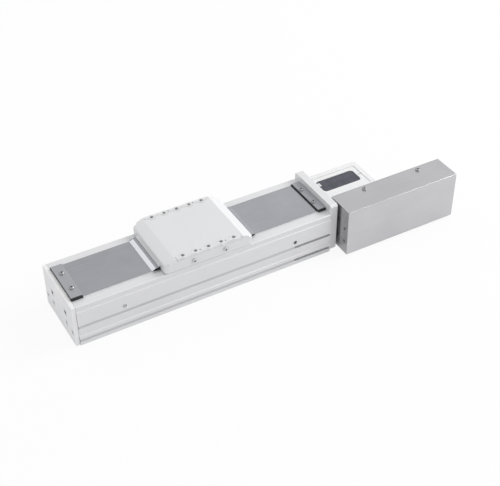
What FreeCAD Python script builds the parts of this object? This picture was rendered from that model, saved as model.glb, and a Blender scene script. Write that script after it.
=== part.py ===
import FreeCAD, Part
import math
import os
import re
import Sketcher

# Belt driven linear module: an extruded body closed by a steel strip, a carriage on two
# guide rails, a toothed belt between an idler and a drive pulley, and a side belt stage.
# X runs along the stroke towards the drive end, -Y is the side of the belt box, Z is up.
# The origin is the middle of the body's underside.

# Driving sizes in millimetres, by piece.
SIZES = {
    # Extruded body
    "body_length": 303,
    "body_width": 80,
    "wall_top": 51.9,
    "floor_top": 10,
    "wall_thick": 10,
    "cavity_corner": 2,
    "lip_in": 15.6,
    "lip_under": 48,
    "lip_slope": 2,
    "face_inset": 0.3,
    "band_inset": 0.7,
    "band_bottom": 45.3,
    "foot_top": 13,
    "edge_bevel": 0.6,
    "slot_upper": 24.4,
    "slot_lower": 6.6,
    "slot_opening": 3.4,
    "slot_inner": 5.8,
    "slot_neck": 1.6,
    "slot_depth": 4.6,
    "base_hole_in": 51.5,
    "base_hole_y": 14,
    "base_hole_depth": 8,
    "rail_tap_depth": 6,
    "wall_screw_in": 6.6,
    "wall_screw_low": 15.5,
    "wall_screw_high": 38.5,
    "wall_tap_depth": 12,
    "side_plug_in": 49,
    "side_plug_shift": 2.8,
    "side_plug_z": 31.5,
    "side_plug_depth": 5,
    # Slot covers
    "slot_open_length": 46.5,
    "slot_cover_inset": 0.35,
    "slot_cover_thick": 1,
    # Strip, its magnets, clamps and anchors
    "strip_in": 12,
    "strip_thick": 0.3,
    "strip_seat": 53,
    "strip_raised": 56.9,
    "strip_high_half": 46,
    "strip_ramp": 16,
    "strip_end_gap": 1.5,
    "magnet_width": 2.8,
    "magnet_thick": 1.5,
    "clamp_depth": 13,
    "clamp_in": 12.5,
    "clamp_thick": 1.2,
    "clamp_foot_thick": 0.9,
    "clamp_overhang": 3,
    "clamp_screw_y": 13,
    "clamp_screw_x": 7,
    "anchor_thick": 3,
    "anchor_depth": 12.5,
    # End plate and belt tension
    "plate_thick": 4.5,
    "plate_bottom": 0.5,
    "plate_inset": 1,
    "plate_top": 52.5,
    "tension_out": 2.9,
    "tension_high": 31,
    "tension_low": 16.5,
    "plate_screw_length": 10,
    # Drive flange
    "flange_thick": 9.3,
    "flange_top": 62.1,
    "flange_inset": 2.2,
    "flange_window_half": 12,
    "flange_window_low": 11.5,
    "flange_window_high": 50,
    "housing_screw_y": 17,
    "housing_screw_low": 6,
    "housing_screw_high": 50,
    "flange_screw_length": 12,
    "housing_tap_depth": 9,
    # Drive housing and its cover
    "housing_length": 66.8,
    "housing_front": 21,
    "housing_back": 29.2,
    "housing_bottom": 1,
    "housing_top": 56.1,
    "housing_corner": 2,
    "housing_end_wall": 9,
    "housing_cavity_half": 12,
    "housing_cavity_low": 9,
    "cover_rim": 6.5,
    "cover_thick": 3,
    "cover_sink": 0.5,
    "window_start": 2.5,
    "window_length": 52,
    "window_half": 10.5,
    "window_y": 6,
    "window_corner": 4,
    "plug_lip": 1.2,
    "plug_lip_thick": 1.2,
    "plug_sink": 0.7,
    "lift_slot_width": 1.6,
    "lift_slot_length": 4,
    # Main belt drive
    "axis_height": 31,
    "drive_axis_offset": 34,
    "idler_offset": 26,
    "belt_pitch": 5,
    "belt_width": 15,
    "belt_tooth_height": 1.2,
    "belt_tooth_base": 2.65,
    "belt_tooth_tip": 1.8,
    "belt_back": 0.5,
    "belt_land": 0.5,
    "belt_end_gap": 4,
    "pulley_teeth": 20,
    "pulley_clearance": 0.05,
    "groove_clearance": 0.2,
    "groove_depth": 1.6,
    "pulley_flange_thick": 1,
    "pulley_flange_rise": 1.8,
    "pulley_side_play": 0.5,
    # Shafts and bearings
    "shaft_radius": 8,
    "journal_radius": 6,
    "shaft_rear": 22.6,
    "shaft_overrun": 2,
    "drive_bearing_radius": 14,
    "drive_bearing_width": 8,
    "drive_bearing_start": 12.5,
    "bearing_cap_thick": 2,
    "idler_pin_radius": 5,
    "idler_bearing_radius": 9.5,
    "idler_bearing_width": 5,
    "idler_bearing_end": 9.4,
    "ring_share": 0.34,
    "fit": 0.02,
    "run_clearance": 0.3,
    # Tension block
    "block_gap": 0.8,
    "block_web": 5.6,
    "block_web_in": 4,
    "cheek_inner": 10.5,
    "cheek_outer": 14.6,
    "cheek_reach": 7.5,
    "block_top": 42,
    # Rails, runners and bumpers
    "rail_in": 38,
    "rail_width": 9,
    "rail_height": 6.5,
    "rail_waist": 1,
    "rail_screw_pitch": 50,
    "runner_length": 26,
    "runner_x": 22,
    "runner_room": 1.2,
    "runner_under": 1.2,
    "runner_top": 20,
    "runner_cap": 2.5,
    "bumper_radius": 4,
    "bumper_length": 2.5,
    "bumper_y": 14.5,
    "bumper_z": 33,
    "post_length": 35,
    # Carriage
    "carriage_half": 38,
    "carriage_top": 67.9,
    "pad_rise": 0.3,
    "pad_width": 4,
    "pad_lip": 0.5,
    "wall_gap": 0.4,
    "neck_gap": 0.8,
    "leg_inner": 12.5,
    "foot_gap": 1.2,
    "leg_foot_top": 26,
    "tunnel_gap": 1,
    "boss_radius": 4,
    "hole_pitch": 15,
    "hole_in": 3.25,
    "hole_radius": 2.1,
    "pin_radius": 2,
    "hole_depth": 8,
    "vent_radius": 0.9,
    "vent_depth": 3,
    "vent_shift": 5,
    "vent_out": 0.8,
    "cover_half": 52.3,
    "cover_flat_half": 40,
    "cover_shoulder": 62.4,
    "cover_bend_half": 47.2,
    "cover_bend": 66.4,
    "cover_skin": 1.4,
    "cover_top_skin": 2.2,
    "cover_round": 4,
    "cover_corner": 5,
    "cover_clearance": 0.3,
    "strip_way": 60,
    "cover_screw_x": 18.5,
    "cover_screw_z": 58.6,
    "cover_tap_depth": 6,
    # Belt clamps on the carriage
    "belt_clamp_half": 12,
    "belt_clamp_length": 28,
    "belt_clamp_start": 4.6,
    "belt_clamp_thick": 5,
    "belt_clamp_screw_y": 9.8,
    "belt_clamp_tap_depth": 5,
    # Side belt stage
    "box_gap": 2.5,
    "box_length": 147.5,
    "box_depth": 35.3,
    "box_bottom": 2,
    "box_top": 60.8,
    "box_skin": 1.2,
    "motor_plate_thick": 10,
    "motor_plate_fit": 0.3,
    "motor_plate_screw_in": 12,
    "motor_plate_tap_depth": 7,
    "motor_plate_screw_low": 9,
    "motor_plate_screw_high": 48,
    "side_pulley_teeth": 24,
    "motor_end_room": 29.5,
    "side_belt_gap": 3.5,
    "shaft_hole_radius": 13,
    "motor_pilot_radius": 25,
    "motor_bolt_circle": 70,
    "motor_bolt_radius": 2.1,
    "motor_bore_radius": 7,
    "box_screw_first": 39.5,
    "box_screw_last": 34.2,
    "box_screw_y": 6.5,
    "box_screw_depth": 2.6,
    # Screws: shank and head of each size
    "small_shank": 1.25,
    "small_head": 2.7,
    "small_head_height": 1.7,
    "medium_shank": 1.65,
    "medium_head": 3.5,
    "medium_head_height": 3.6,
    "large_shank": 2.5,
    "large_head": 4.2,
    "large_head_height": 4,
    "hole_clearance": 0.1,
    "tap_spare": 1,
}

# Widths and places that follow from the sizes above.
PLACES = {
    "cavity_half": "body_width / 2 - wall_thick",
    "lip_half": "body_width / 2 - lip_in",
    "strip_half": "body_width / 2 - strip_in",
    "clamp_half": "body_width / 2 - clamp_in",
    "wall_screw_y": "body_width / 2 - wall_screw_in",
    "plate_half": "body_width / 2 - plate_inset",
    "flange_half": "body_width / 2 - flange_inset",
    "carriage_side": "body_width / 2",
    "hole_y": "carriage_side - hole_in",
    "neck_half": "lip_half - neck_gap",
    "foot_half": "cavity_half - foot_gap",
    "tunnel_half": "strip_half + tunnel_gap",
    "tension_y": "cheek_outer + tension_out",
    "block_web_half": "cavity_half - block_web_in",
    "rail_y": "(cavity_half + belt_width / 2) / 2",
    "runner_half": "(cavity_half - belt_width / 2) / 2 - runner_room",
    "rail_half_length": "body_length / 2 - rail_in",
    "post_end": "body_length / 2 - post_length",
    "base_hole_x": "body_length / 2 - base_hole_in",
    "side_plug_x": "body_length / 2 - side_plug_in",
    "slot_cover_to": "body_length / 2 - slot_open_length",
    "main_teeth": "floor(pulley_teeth + 0.5)",
    "side_teeth": "floor(side_pulley_teeth + 0.5)",
}
HALF = "body_width / 2"
FACE = "(body_width / 2 - face_inset)"
BAND = "(body_width / 2 - band_inset)"
BODY_END = "body_length / 2"
HOUSING_X = "(body_length / 2 + flange_thick)"
DRIVE_X = "(body_length / 2 + flange_thick + drive_axis_offset)"
IDLER_X = (
    f"({DRIVE_X} - floor((body_length + flange_thick + drive_axis_offset - idler_offset)"
    " / belt_pitch + 0.001) * belt_pitch)"
)
BOX_X = f"({HOUSING_X} + box_gap)"
BOX_END = f"({BOX_X} + box_length)"
MOTOR_X = (
    f"({DRIVE_X} + floor(({BOX_END} - motor_end_room - {DRIVE_X}) / belt_pitch + 0.001)"
    " * belt_pitch)"
)
PITCH_RADIUS = "(main_teeth * belt_pitch / 2 / pi)"
BELT_TOP = f"(axis_height + {PITCH_RADIUS} + belt_back)"
BOX_FRONT = "(-housing_front - box_depth)"
SIDE_BELT_Y = "(-housing_front - motor_plate_thick - side_belt_gap - belt_width / 2)"
PLATE_FRONT = "(-housing_front - motor_plate_thick)"
CLAMP_X = f"({BODY_END} - clamp_screw_x)"

doc = FreeCAD.newDocument("linear_module")
sheet = doc.addObject("Spreadsheet::Sheet", "Sizes")
for row, (name, number) in enumerate(SIZES.items(), 1):
    sheet.set(f"A{row}", name)
    sheet.set(f"B{row}", str(number))
    sheet.setAlias(f"B{row}", name)
doc.recompute()

PLANES = {"X": "YZ_Plane", "Y": "XZ_Plane", "Z": "XY_Plane"}
TURNS = {
    "+X": FreeCAD.Rotation(FreeCAD.Vector(0, 1, 0), 90),
    "-X": FreeCAD.Rotation(FreeCAD.Vector(0, 1, 0), -90),
    "+Y": FreeCAD.Rotation(FreeCAD.Vector(1, 0, 0), -90),
    "-Y": FreeCAD.Rotation(FreeCAD.Vector(1, 0, 0), 90),
    "+Z": FreeCAD.Rotation(),
    "-Z": FreeCAD.Rotation(FreeCAD.Vector(1, 0, 0), 180),
}
pieces = []


def formula(text):
    """The text with each place spelled out and each size pointed at its cell."""
    def cell(word):
        name = word.group()
        if name in PLACES:
            return f"({formula(PLACES[name])})"
        return f"Sizes.{name}" if name in SIZES else name
    return re.sub(r"[a-z]\w*", cell, str(text))


def bind(item, path, text):
    item.setExpression(path, formula(text))


def place(item, x, y, z):
    for letter, text in zip("xyz", (x, y, z)):
        bind(item, f"Placement.Base.{letter}", text)


def piece(kind, label):
    """A document object that is one of the module's pieces."""
    item = doc.addObject(kind, label)
    item.Label = label
    pieces.append(item)
    return item


def new_body(label):
    return piece("PartDesign::Body", label)


def sketch_on(body, axis, at):
    """A sketch of the body square to an axis, at a place along it."""
    sketch = body.newObject("Sketcher::SketchObject", f"{body.Label}_sketch")
    plane = next(item for item in body.Origin.OriginFeatures if item.Role == PLANES[axis])
    sketch.AttachmentSupport = [(plane, "")]
    sketch.MapMode = "FlatFace"
    # The plane across Y faces -Y, so its offset counts the other way.
    bind(sketch, "AttachmentOffset.Base.z", f"-({at})" if axis == "Y" else at)
    return sketch


def fix_point(sketch, item, point, start, spot):
    for kind, value, text in (("DistanceX", start.x, spot[0]), ("DistanceY", start.y, spot[1])):
        number = sketch.addConstraint(Sketcher.Constraint(kind, -1, 1, item, point, value))
        bind(sketch, f"Constraints[{number}]", text)


def draw_polygon(sketch, corners):
    count = len(corners)
    turns = [2 * math.pi * step / count for step in range(count)]
    starts = [FreeCAD.Vector(math.cos(turn), math.sin(turn), 0) for turn in turns]
    sides = [Part.LineSegment(starts[step], starts[(step + 1) % count]) for step in range(count)]
    first = sketch.addGeometry(sides, False)[0]
    joins = [
        Sketcher.Constraint("Coincident", first + step, 2, first + (step + 1) % count, 1)
        for step in range(count)
    ]
    sketch.addConstraint(joins)
    for step, corner in enumerate(corners):
        fix_point(sketch, first + step, 1, starts[step], corner)


def draw_circle(sketch, centre, radius):
    start = FreeCAD.Vector(1, 1, 0)
    item = sketch.addGeometry(Part.Circle(start, FreeCAD.Vector(0, 0, 1), 1), False)
    fix_point(sketch, item, 3, start, centre)
    number = sketch.addConstraint(Sketcher.Constraint("Radius", item, 1))
    bind(sketch, f"Constraints[{number}]", radius)


def draw(sketch, outlines):
    """Draws lists of corners as polygons, and (centre, radius) pairs as circles."""
    for outline in outlines:
        if isinstance(outline, list):
            draw_polygon(sketch, outline)
        else:
            draw_circle(sketch, *outline)


def pad(body, axis, low, high, *outlines):
    """Adds the outlines to the body from low to high along an axis."""
    sketch = sketch_on(body, axis, high if axis == "Y" else low)
    draw(sketch, outlines)
    feature = body.newObject("PartDesign::Pad", f"{body.Label}_pad")
    feature.Profile = sketch
    bind(feature, "Length", f"({high}) - ({low})")
    return feature


def cut(body, axis, low, high, *outlines):
    """Takes the outlines out of the body from low to high along an axis."""
    sketch = sketch_on(body, axis, low if axis == "Y" else high)
    draw(sketch, outlines)
    feature = body.newObject("PartDesign::Pocket", f"{body.Label}_pocket")
    feature.Profile = sketch
    bind(feature, "Length", f"({high}) - ({low})")
    return feature


def round_edges(body, axis, radius, chosen):
    """Rounds the edges along an axis whose middle point is chosen."""
    doc.recompute()
    base = body.Tip
    names = []
    for number, edge in enumerate(base.Shape.Edges, 1):
        ends = edge.Vertexes
        way = ends[-1].Point - ends[0].Point
        along = way.Length > 0 and abs(getattr(way, axis.lower())) > 0.999 * way.Length
        if along and chosen(edge.CenterOfMass):
            names.append(f"Edge{number}")
    feature = body.newObject("PartDesign::Fillet", f"{body.Label}_round")
    feature.Base = (base, names)
    bind(feature, "Radius", radius)
    return feature


def rectangle(u_low, v_low, u_high, v_high):
    return [(u_low, v_low), (u_high, v_low), (u_high, v_high), (u_low, v_high)]


def both_sides(half):
    """A closed outline from its half on the positive side of the first axis."""
    return half + [(f"-({u})", v) for u, v in reversed(half)]


def both_ways(half):
    """A closed outline from its half on the positive side of the second axis."""
    return half + [(u, f"-({v})") for u, v in reversed(half)]


def mirrored_pairs(*spots):
    """Each spot and its mirror image across the first axis."""
    return [spot for u, v in spots for spot in ((u, v), (f"-({u})", v))]


def screw(label, shank, head, head_height, length):
    """A screw on its own axis: its head stands on the origin, its shank points down."""
    body = doc.addObject("PartDesign::Body", label)
    body.Label = label
    pad(body, "Z", f"-({length})", "0", (("0", "0"), f"{shank} - hole_clearance"))
    pad(body, "Z", "0", head_height, (("0", "0"), head))
    return body


def copies(label, master, *spots):
    """A group of like solids: each spot is a direction of the head and a place."""
    links = []
    for way, x, y, z in spots:
        link = doc.addObject("App::Link", f"{label}_at")
        link.LinkedObject = master
        link.Placement.Rotation = TURNS[way]
        place(link, x, y, z)
        links.append(link)
    group = piece("Part::Compound", label)
    group.Links = links
    return group


# Extruded body: both walls with their T-slots, the stepped face, the raised seats of the
# strip with their magnet grooves, and the lips over the cavity.
def t_slot(face, height):
    neck = f"{face} - slot_neck"
    back = f"{face} - slot_depth"
    upper = [
        (face, f"{height} + slot_opening / 2"),
        (neck, f"{height} + slot_opening / 2"),
        (neck, f"{height} + slot_inner / 2"),
        (back, f"{height} + slot_inner / 2"),
    ]
    lower = [(u, v.replace("+", "-")) for u, v in reversed(upper)]
    return upper + lower


MAGNET_OUT = "strip_half"
MAGNET_IN = "(strip_half - magnet_width)"
SEAT_EDGE = "(strip_half + run_clearance)"
body_half = [
    ("cavity_half - cavity_corner", "floor_top"),
    ("cavity_half", "floor_top + cavity_corner"),
    ("cavity_half", "lip_under - lip_slope"),
    ("lip_half", "lip_under"),
    ("lip_half", "strip_seat"),
    (MAGNET_IN, "strip_seat"),
    (MAGNET_IN, "strip_seat - magnet_thick"),
    (MAGNET_OUT, "strip_seat - magnet_thick"),
    (MAGNET_OUT, "strip_seat"),
    (SEAT_EDGE, "strip_seat"),
    (SEAT_EDGE, "wall_top"),
    (f"{BAND} - edge_bevel", "wall_top"),
    (BAND, "wall_top - edge_bevel"),
    (BAND, "band_bottom"),
    (FACE, "band_bottom"),
    *t_slot(FACE, "slot_upper"),
    (FACE, "foot_top"),
    (HALF, "foot_top"),
    *t_slot(HALF, "slot_lower"),
    (HALF, "edge_bevel"),
    (f"{HALF} - edge_bevel", "0"),
]
base_profile = new_body("base_profile")
pad(base_profile, "X", f"-{BODY_END}", BODY_END, both_sides(body_half))
base_holes = [
    ((f"{way}base_hole_x", f"{side}base_hole_y"), "hole_radius") for way in "+-" for side in "+-"
]
cut(base_profile, "Z", "0", "base_hole_depth", *base_holes)
RAIL_SCREW_X = [f"{way}{step} * rail_screw_pitch" for way in "+-" for step in (0.5, 1.5)]
rail_holes = [((x, f"{side}rail_y"), "small_shank") for x in RAIL_SCREW_X for side in "+-"]
cut(base_profile, "Z", "floor_top - rail_tap_depth", "floor_top", *rail_holes)
end_holes = [(spot, "medium_shank") for spot in mirrored_pairs(("wall_screw_y", "wall_screw_low"))]
cut(base_profile, "X", f"-{BODY_END}", f"-{BODY_END} + wall_tap_depth", *end_holes)
FLANGE_SPOTS = mirrored_pairs(
    ("wall_screw_y", "wall_screw_low"), ("wall_screw_y", "wall_screw_high")
)
flange_taps = [(spot, "medium_shank") for spot in FLANGE_SPOTS]
cut(base_profile, "X", f"{BODY_END} - wall_tap_depth", BODY_END, *flange_taps)
plug_holes = [((f"{way}side_plug_x + side_plug_shift", "side_plug_z"), "medium_shank") for way in "+-"]
cut(base_profile, "Y", f"-{FACE}", f"-{FACE} + side_plug_depth", *plug_holes)
cut(base_profile, "Y", f"{FACE} - side_plug_depth", FACE, *plug_holes)

# Plastic strips that close the side slots, short of the drive end where they stay open.
slot_strips = []
for side in "+-":
    for face, height in ((FACE, "slot_upper"), (HALF, "slot_lower")):
        strip = doc.addObject("Part::Box", "slot_strip")
        outer = f"({face} - slot_cover_inset)"
        inner = f"({face} - slot_cover_inset - slot_cover_thick)"
        place(
            strip,
            f"-{BODY_END} + run_clearance",
            inner if side == "+" else f"-{outer}",
            f"{height} - slot_opening / 2",
        )
        bind(strip, "Length", f"{BODY_END} - run_clearance + slot_cover_to")
        bind(strip, "Width", "slot_cover_thick")
        bind(strip, "Height", "slot_opening")
        slot_strips.append(strip)
slot_covers = piece("Part::Compound", "slot_covers")
slot_covers.Links = slot_strips

# Cover strip: flat on its seats, lifted through the carriage by a ramp at each end.
STRIP_LOW_X = "(strip_high_half + strip_ramp)"
STRIP_END = f"({BODY_END} - strip_end_gap)"
strip_half_outline = [
    ("strip_high_half", "strip_raised"),
    (STRIP_LOW_X, "strip_seat"),
    (STRIP_END, "strip_seat"),
    (STRIP_END, "strip_seat + strip_thick"),
    (STRIP_LOW_X, "strip_seat + strip_thick"),
    ("strip_high_half", "strip_raised + strip_thick"),
]
cover_strip = new_body("cover_strip")
pad(cover_strip, "Y", "-strip_half", "strip_half", both_sides(strip_half_outline))
strip_holes = [
    ((f"{way}{CLAMP_X}", f"{side}clamp_screw_y"), "small_shank + hole_clearance")
    for way in "+-"
    for side in "+-"
]
cut(cover_strip, "Z", "strip_seat", "strip_seat + strip_thick", *strip_holes)

magnet_bars = []
for start in (MAGNET_IN, f"-{MAGNET_OUT}"):
    bar = doc.addObject("Part::Box", "magnet_bar")
    place(bar, f"-{STRIP_END}", start, "strip_seat - magnet_thick")
    bind(bar, "Length", f"2 * {STRIP_END}")
    bind(bar, "Width", "magnet_width")
    bind(bar, "Height", "magnet_thick")
    magnet_bars.append(bar)
magnet_strips = piece("Part::Compound", "magnet_strips")
magnet_strips.Links = magnet_bars

# Anchors between the lips under the strip's ends, and the clamp bars screwed down on
# the strip, each on a narrower foot so that a gap shows under its edge.
CLAMP_HOLES = [((CLAMP_X, f"{side}clamp_screw_y"), "small_shank") for side in "+-"]
for side, sign in (("left", "-"), ("right", "")):
    def along(near, far):
        return (f"-({far})", f"-({near})") if sign else (near, far)
    holes = [((f"{sign}{x}", y), radius) for (x, y), radius in CLAMP_HOLES]
    anchor_low, anchor_high = along(f"{BODY_END} - anchor_depth", BODY_END)
    anchor = new_body(f"strip_anchor_{side}")
    anchor_bottom = "strip_seat - anchor_thick"
    anchor_outline = rectangle(
        anchor_low, "-lip_half + fit", anchor_high, "lip_half - fit"
    )
    pad(anchor, "Z", anchor_bottom, "strip_seat", anchor_outline)
    cut(anchor, "Z", anchor_bottom, "strip_seat", *holes)
    clamp = new_body(f"strip_clamp_{side}")
    foot_bottom = "strip_seat + strip_thick"
    foot_top = "strip_seat + strip_thick + clamp_foot_thick"
    clamp_top = f"{foot_top} + clamp_thick"
    clamp_end = f"{BODY_END} - run_clearance"
    foot_low, foot_high = along(f"{BODY_END} - clamp_depth + clamp_overhang", clamp_end)
    bar_low, bar_high = along(f"{BODY_END} - clamp_depth", clamp_end)
    foot_y = "(clamp_half - clamp_overhang)"
    pad(clamp, "Z", foot_bottom, foot_top, rectangle(foot_low, f"-{foot_y}", foot_high, foot_y))
    pad(clamp, "Z", foot_top, clamp_top, rectangle(bar_low, "-clamp_half", bar_high, "clamp_half"))
    cut(clamp, "Z", foot_bottom, clamp_top, *holes)
clamp_screw = screw(
    "clamp_screw", "small_shank", "small_head", "small_head_height",
    "clamp_thick + clamp_foot_thick + anchor_thick",
)
copies(
    "strip_clamp_screws",
    clamp_screw,
    *[
        ("+Z", f"{way}{CLAMP_X}", f"{side}clamp_screw_y",
         "strip_seat + strip_thick + clamp_foot_thick + clamp_thick")
        for way in "+-"
        for side in "+-"
    ],
)

# End plate with the holes of its own screws and of the belt tension screws, all sunk.
def end_outline(half, top):
    """The bevelled outline across the body's end, of a given half width and top."""
    return both_sides([
        (f"{half} - edge_bevel", "plate_bottom"),
        (half, "plate_bottom + edge_bevel"),
        (half, f"{top} - edge_bevel"),
        (f"{half} - edge_bevel", top),
    ])


PLATE_X = f"(-{BODY_END} - plate_thick)"
PLATE_SPOTS = mirrored_pairs(("wall_screw_y", "wall_screw_low"), ("tension_y", "tension_low"))
TENSION_SPOTS = mirrored_pairs(("tension_y", "tension_high"))
end_plate = new_body("end_plate")
pad(end_plate, "X", PLATE_X, f"-{BODY_END}", end_outline("plate_half", "plate_top"))
plate_holes = [(spot, "medium_shank + hole_clearance") for spot in PLATE_SPOTS]
plate_holes += [(spot, "large_shank + hole_clearance") for spot in TENSION_SPOTS]
cut(end_plate, "X", PLATE_X, f"-{BODY_END}", *plate_holes)
plate_pockets = [(spot, "medium_head + hole_clearance") for spot in PLATE_SPOTS]
cut(end_plate, "X", PLATE_X, f"{PLATE_X} + medium_head_height", *plate_pockets)
tension_pockets = [(spot, "large_head + hole_clearance") for spot in TENSION_SPOTS]
cut(end_plate, "X", PLATE_X, f"{PLATE_X} + large_head_height", *tension_pockets)
plate_screw = screw(
    "plate_screw", "medium_shank", "medium_head", "medium_head_height", "plate_screw_length"
)
copies(
    "end_plate_screws",
    plate_screw,
    *[("-X", f"{PLATE_X} + medium_head_height", y, z) for y, z in PLATE_SPOTS],
)

# Idler end: a forked block that the tension screws pull along the floor, the pin
# across its cheeks, and washers that keep the pulley centred.
BLOCK_X = f"(-{BODY_END} + block_gap)"
BLOCK_END = f"({IDLER_X} + cheek_reach)"
tension_block = new_body("tension_block")
fork = both_ways([
    (BLOCK_X, "block_web_half"),
    (f"{BLOCK_X} + block_web", "block_web_half"),
    (f"{BLOCK_X} + block_web", "cheek_outer"),
    (BLOCK_END, "cheek_outer"),
    (BLOCK_END, "cheek_inner"),
    (f"{BLOCK_X} + block_web", "cheek_inner"),
])
pad(tension_block, "Z", "floor_top", "block_top", fork)
cut(
    tension_block, "Y", "-cheek_outer", "cheek_outer",
    ((IDLER_X, "axis_height"), "idler_pin_radius + fit"),
)
block_holes = [(spot, "large_shank") for spot in TENSION_SPOTS]
block_holes += [(spot, "medium_shank") for spot in mirrored_pairs(("tension_y", "tension_low"))]
cut(tension_block, "X", BLOCK_X, f"{BLOCK_X} + plate_screw_length", *block_holes)
tension_screw = screw(
    "tension_screw", "large_shank", "large_head", "large_head_height",
    "plate_thick - large_head_height + block_gap + block_web",
)
copies(
    "tension_screws",
    tension_screw,
    *[("-X", f"{PLATE_X} + large_head_height", y, z) for y, z in TENSION_SPOTS],
)
idler_pin = new_body("idler_pin")
pad(
    idler_pin, "Y", "-cheek_outer", "cheek_outer",
    ((IDLER_X, "axis_height"), "idler_pin_radius"),
)


def ring(label, width, inner, outer):
    """A plain ring about Y, centred on the origin."""
    body = doc.addObject("PartDesign::Body", label)
    body.Label = label
    pad(body, "Y", f"-({width}) / 2", f"({width}) / 2", (("0", "0"), outer), (("0", "0"), inner))
    return body


def ring_pair(label, width, inner, outer, axis_x, middle):
    """Two like rings at the same distance on both sides of the middle plane."""
    master = ring(f"{label}_ring", width, inner, outer)
    spots = []
    for side in "+-":
        spots.append(("+Z", axis_x, f"{side}({middle})", "axis_height"))
    return copies(label, master, *spots)


def bearing_pair(name, width, bore, radius, axis_x, middle):
    """The rings of two bearings: inner ones on the shaft, outer ones in their seats."""
    wall = f"(({radius}) - ({bore})) * ring_share"
    ring_pair(f"{name}_bearing_inner", width, f"{bore} + fit", f"{bore} + {wall}", axis_x, middle)
    ring_pair(f"{name}_bearing_outer", width, f"{radius} - {wall}", f"{radius} - fit", axis_x, middle)


bearing_pair(
    "idler", "idler_bearing_width", "idler_pin_radius", "idler_bearing_radius", IDLER_X,
    "idler_bearing_end - idler_bearing_width / 2",
)
washer_width = "(cheek_inner - idler_bearing_end - run_clearance)"
ring_pair(
    "idler_washers", washer_width, "idler_pin_radius + fit",
    "idler_pin_radius + (idler_bearing_radius - idler_pin_radius) * ring_share",
    IDLER_X, f"cheek_inner - {washer_width} / 2",
)


# Toothed pulleys: a disc with one groove cut at the top and repeated round the axis,
# and a flange on each side that keeps the belt on.
def pulley(label, teeth, bore, axis_x, middle):
    body = new_body(label)
    pitch_radius = f"({teeth} * belt_pitch / 2 / pi)"
    rim = f"({pitch_radius} - belt_land - pulley_clearance)"
    face = "(belt_width / 2 + pulley_side_play)"
    side = f"({face} + pulley_flange_thick)"
    hole = (("0", "0"), bore)
    pad(body, "Y", f"-{face}", face, (("0", "0"), rim), hole)
    groove_mouth = "(belt_tooth_base / 2 + groove_clearance)"
    groove_floor = "(belt_tooth_tip / 2 + groove_clearance)"
    groove = both_sides([
        (groove_mouth, f"{rim} + pulley_flange_rise"),
        (groove_mouth, rim),
        (groove_floor, f"{rim} - groove_depth"),
    ])
    pocket = cut(body, "Y", f"-{face}", face, groove)
    pattern = body.newObject("PartDesign::PolarPattern", f"{label}_teeth")
    pattern.Originals = [pocket]
    spin = next(item for item in body.Origin.OriginFeatures if item.Role == "Y_Axis")
    pattern.Axis = (spin, [""])
    pattern.Angle = 360
    bind(pattern, "Occurrences", teeth)
    body.Tip = pattern
    rise = (("0", "0"), f"{rim} + pulley_flange_rise")
    pad(body, "Y", face, side, rise, hole)
    pad(body, "Y", f"-{side}", f"-{face}", rise, hole)
    place(body, axis_x, middle, "axis_height")
    return body


idler_pulley = pulley("idler_pulley", "main_teeth", "idler_bearing_radius", IDLER_X, "0")
drive_pulley = pulley("drive_pulley", "main_teeth", "shaft_radius + fit", DRIVE_X, "0")
driven_pulley = pulley(
    "driven_pulley", "side_teeth", "journal_radius + fit", DRIVE_X, SIDE_BELT_Y
)
motor_pulley = pulley(
    "motor_pulley", "side_teeth", "motor_bore_radius", MOTOR_X, SIDE_BELT_Y
)

# Drive shaft: thick under the drive pulley, stepped down for the bearings and for the
# pulley of the side stage.
drive_shaft = new_body("drive_shaft")
SHAFT_SPOT = (DRIVE_X, "axis_height")
SHAFT_FRONT = f"({SIDE_BELT_Y} - belt_width / 2 - shaft_overrun)"
pad(drive_shaft, "Y", SHAFT_FRONT, "shaft_rear", (SHAFT_SPOT, "journal_radius"))
shoulder = "(drive_bearing_start - fit)"
pad(drive_shaft, "Y", f"-{shoulder}", shoulder, (SHAFT_SPOT, "shaft_radius"))
bearing_pair(
    "drive", "drive_bearing_width", "journal_radius", "drive_bearing_radius", DRIVE_X,
    "drive_bearing_start + drive_bearing_width / 2",
)

# Drive flange with the belt window, the screws into the body from the outside and the
# screws into the housing from the inside.
FLANGE_END = HOUSING_X
HOUSING_SPOTS = mirrored_pairs(
    ("housing_screw_y", "housing_screw_low"), ("housing_screw_y", "housing_screw_high")
)
drive_flange = new_body("drive_flange")
pad(drive_flange, "X", BODY_END, FLANGE_END, end_outline("flange_half", "flange_top"))
belt_window = rectangle(
    "-flange_window_half", "flange_window_low", "flange_window_half", "flange_window_high"
)
cut(drive_flange, "X", BODY_END, FLANGE_END, belt_window)
flange_holes = [(spot, "medium_shank + hole_clearance") for spot in FLANGE_SPOTS + HOUSING_SPOTS]
cut(drive_flange, "X", BODY_END, FLANGE_END, *flange_holes)
HEAD_SEAT = "medium_head_height + 2 * hole_clearance"
flange_pockets = [(spot, "medium_head + hole_clearance") for spot in FLANGE_SPOTS]
cut(drive_flange, "X", f"{FLANGE_END} - ({HEAD_SEAT})", FLANGE_END, *flange_pockets)
inner_pockets = [(spot, "medium_head + hole_clearance") for spot in HOUSING_SPOTS]
cut(drive_flange, "X", BODY_END, f"{BODY_END} + {HEAD_SEAT}", *inner_pockets)
flange_screw = screw(
    "flange_screw", "medium_shank", "medium_head", "medium_head_height", "flange_screw_length"
)
copies(
    "flange_screws",
    flange_screw,
    *[("+X", f"{FLANGE_END} - ({HEAD_SEAT})", y, z) for y, z in FLANGE_SPOTS],
)
copies(
    "housing_screws",
    flange_screw,
    *[("-X", f"{BODY_END} + {HEAD_SEAT}", y, z) for y, z in HOUSING_SPOTS],
)

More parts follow.
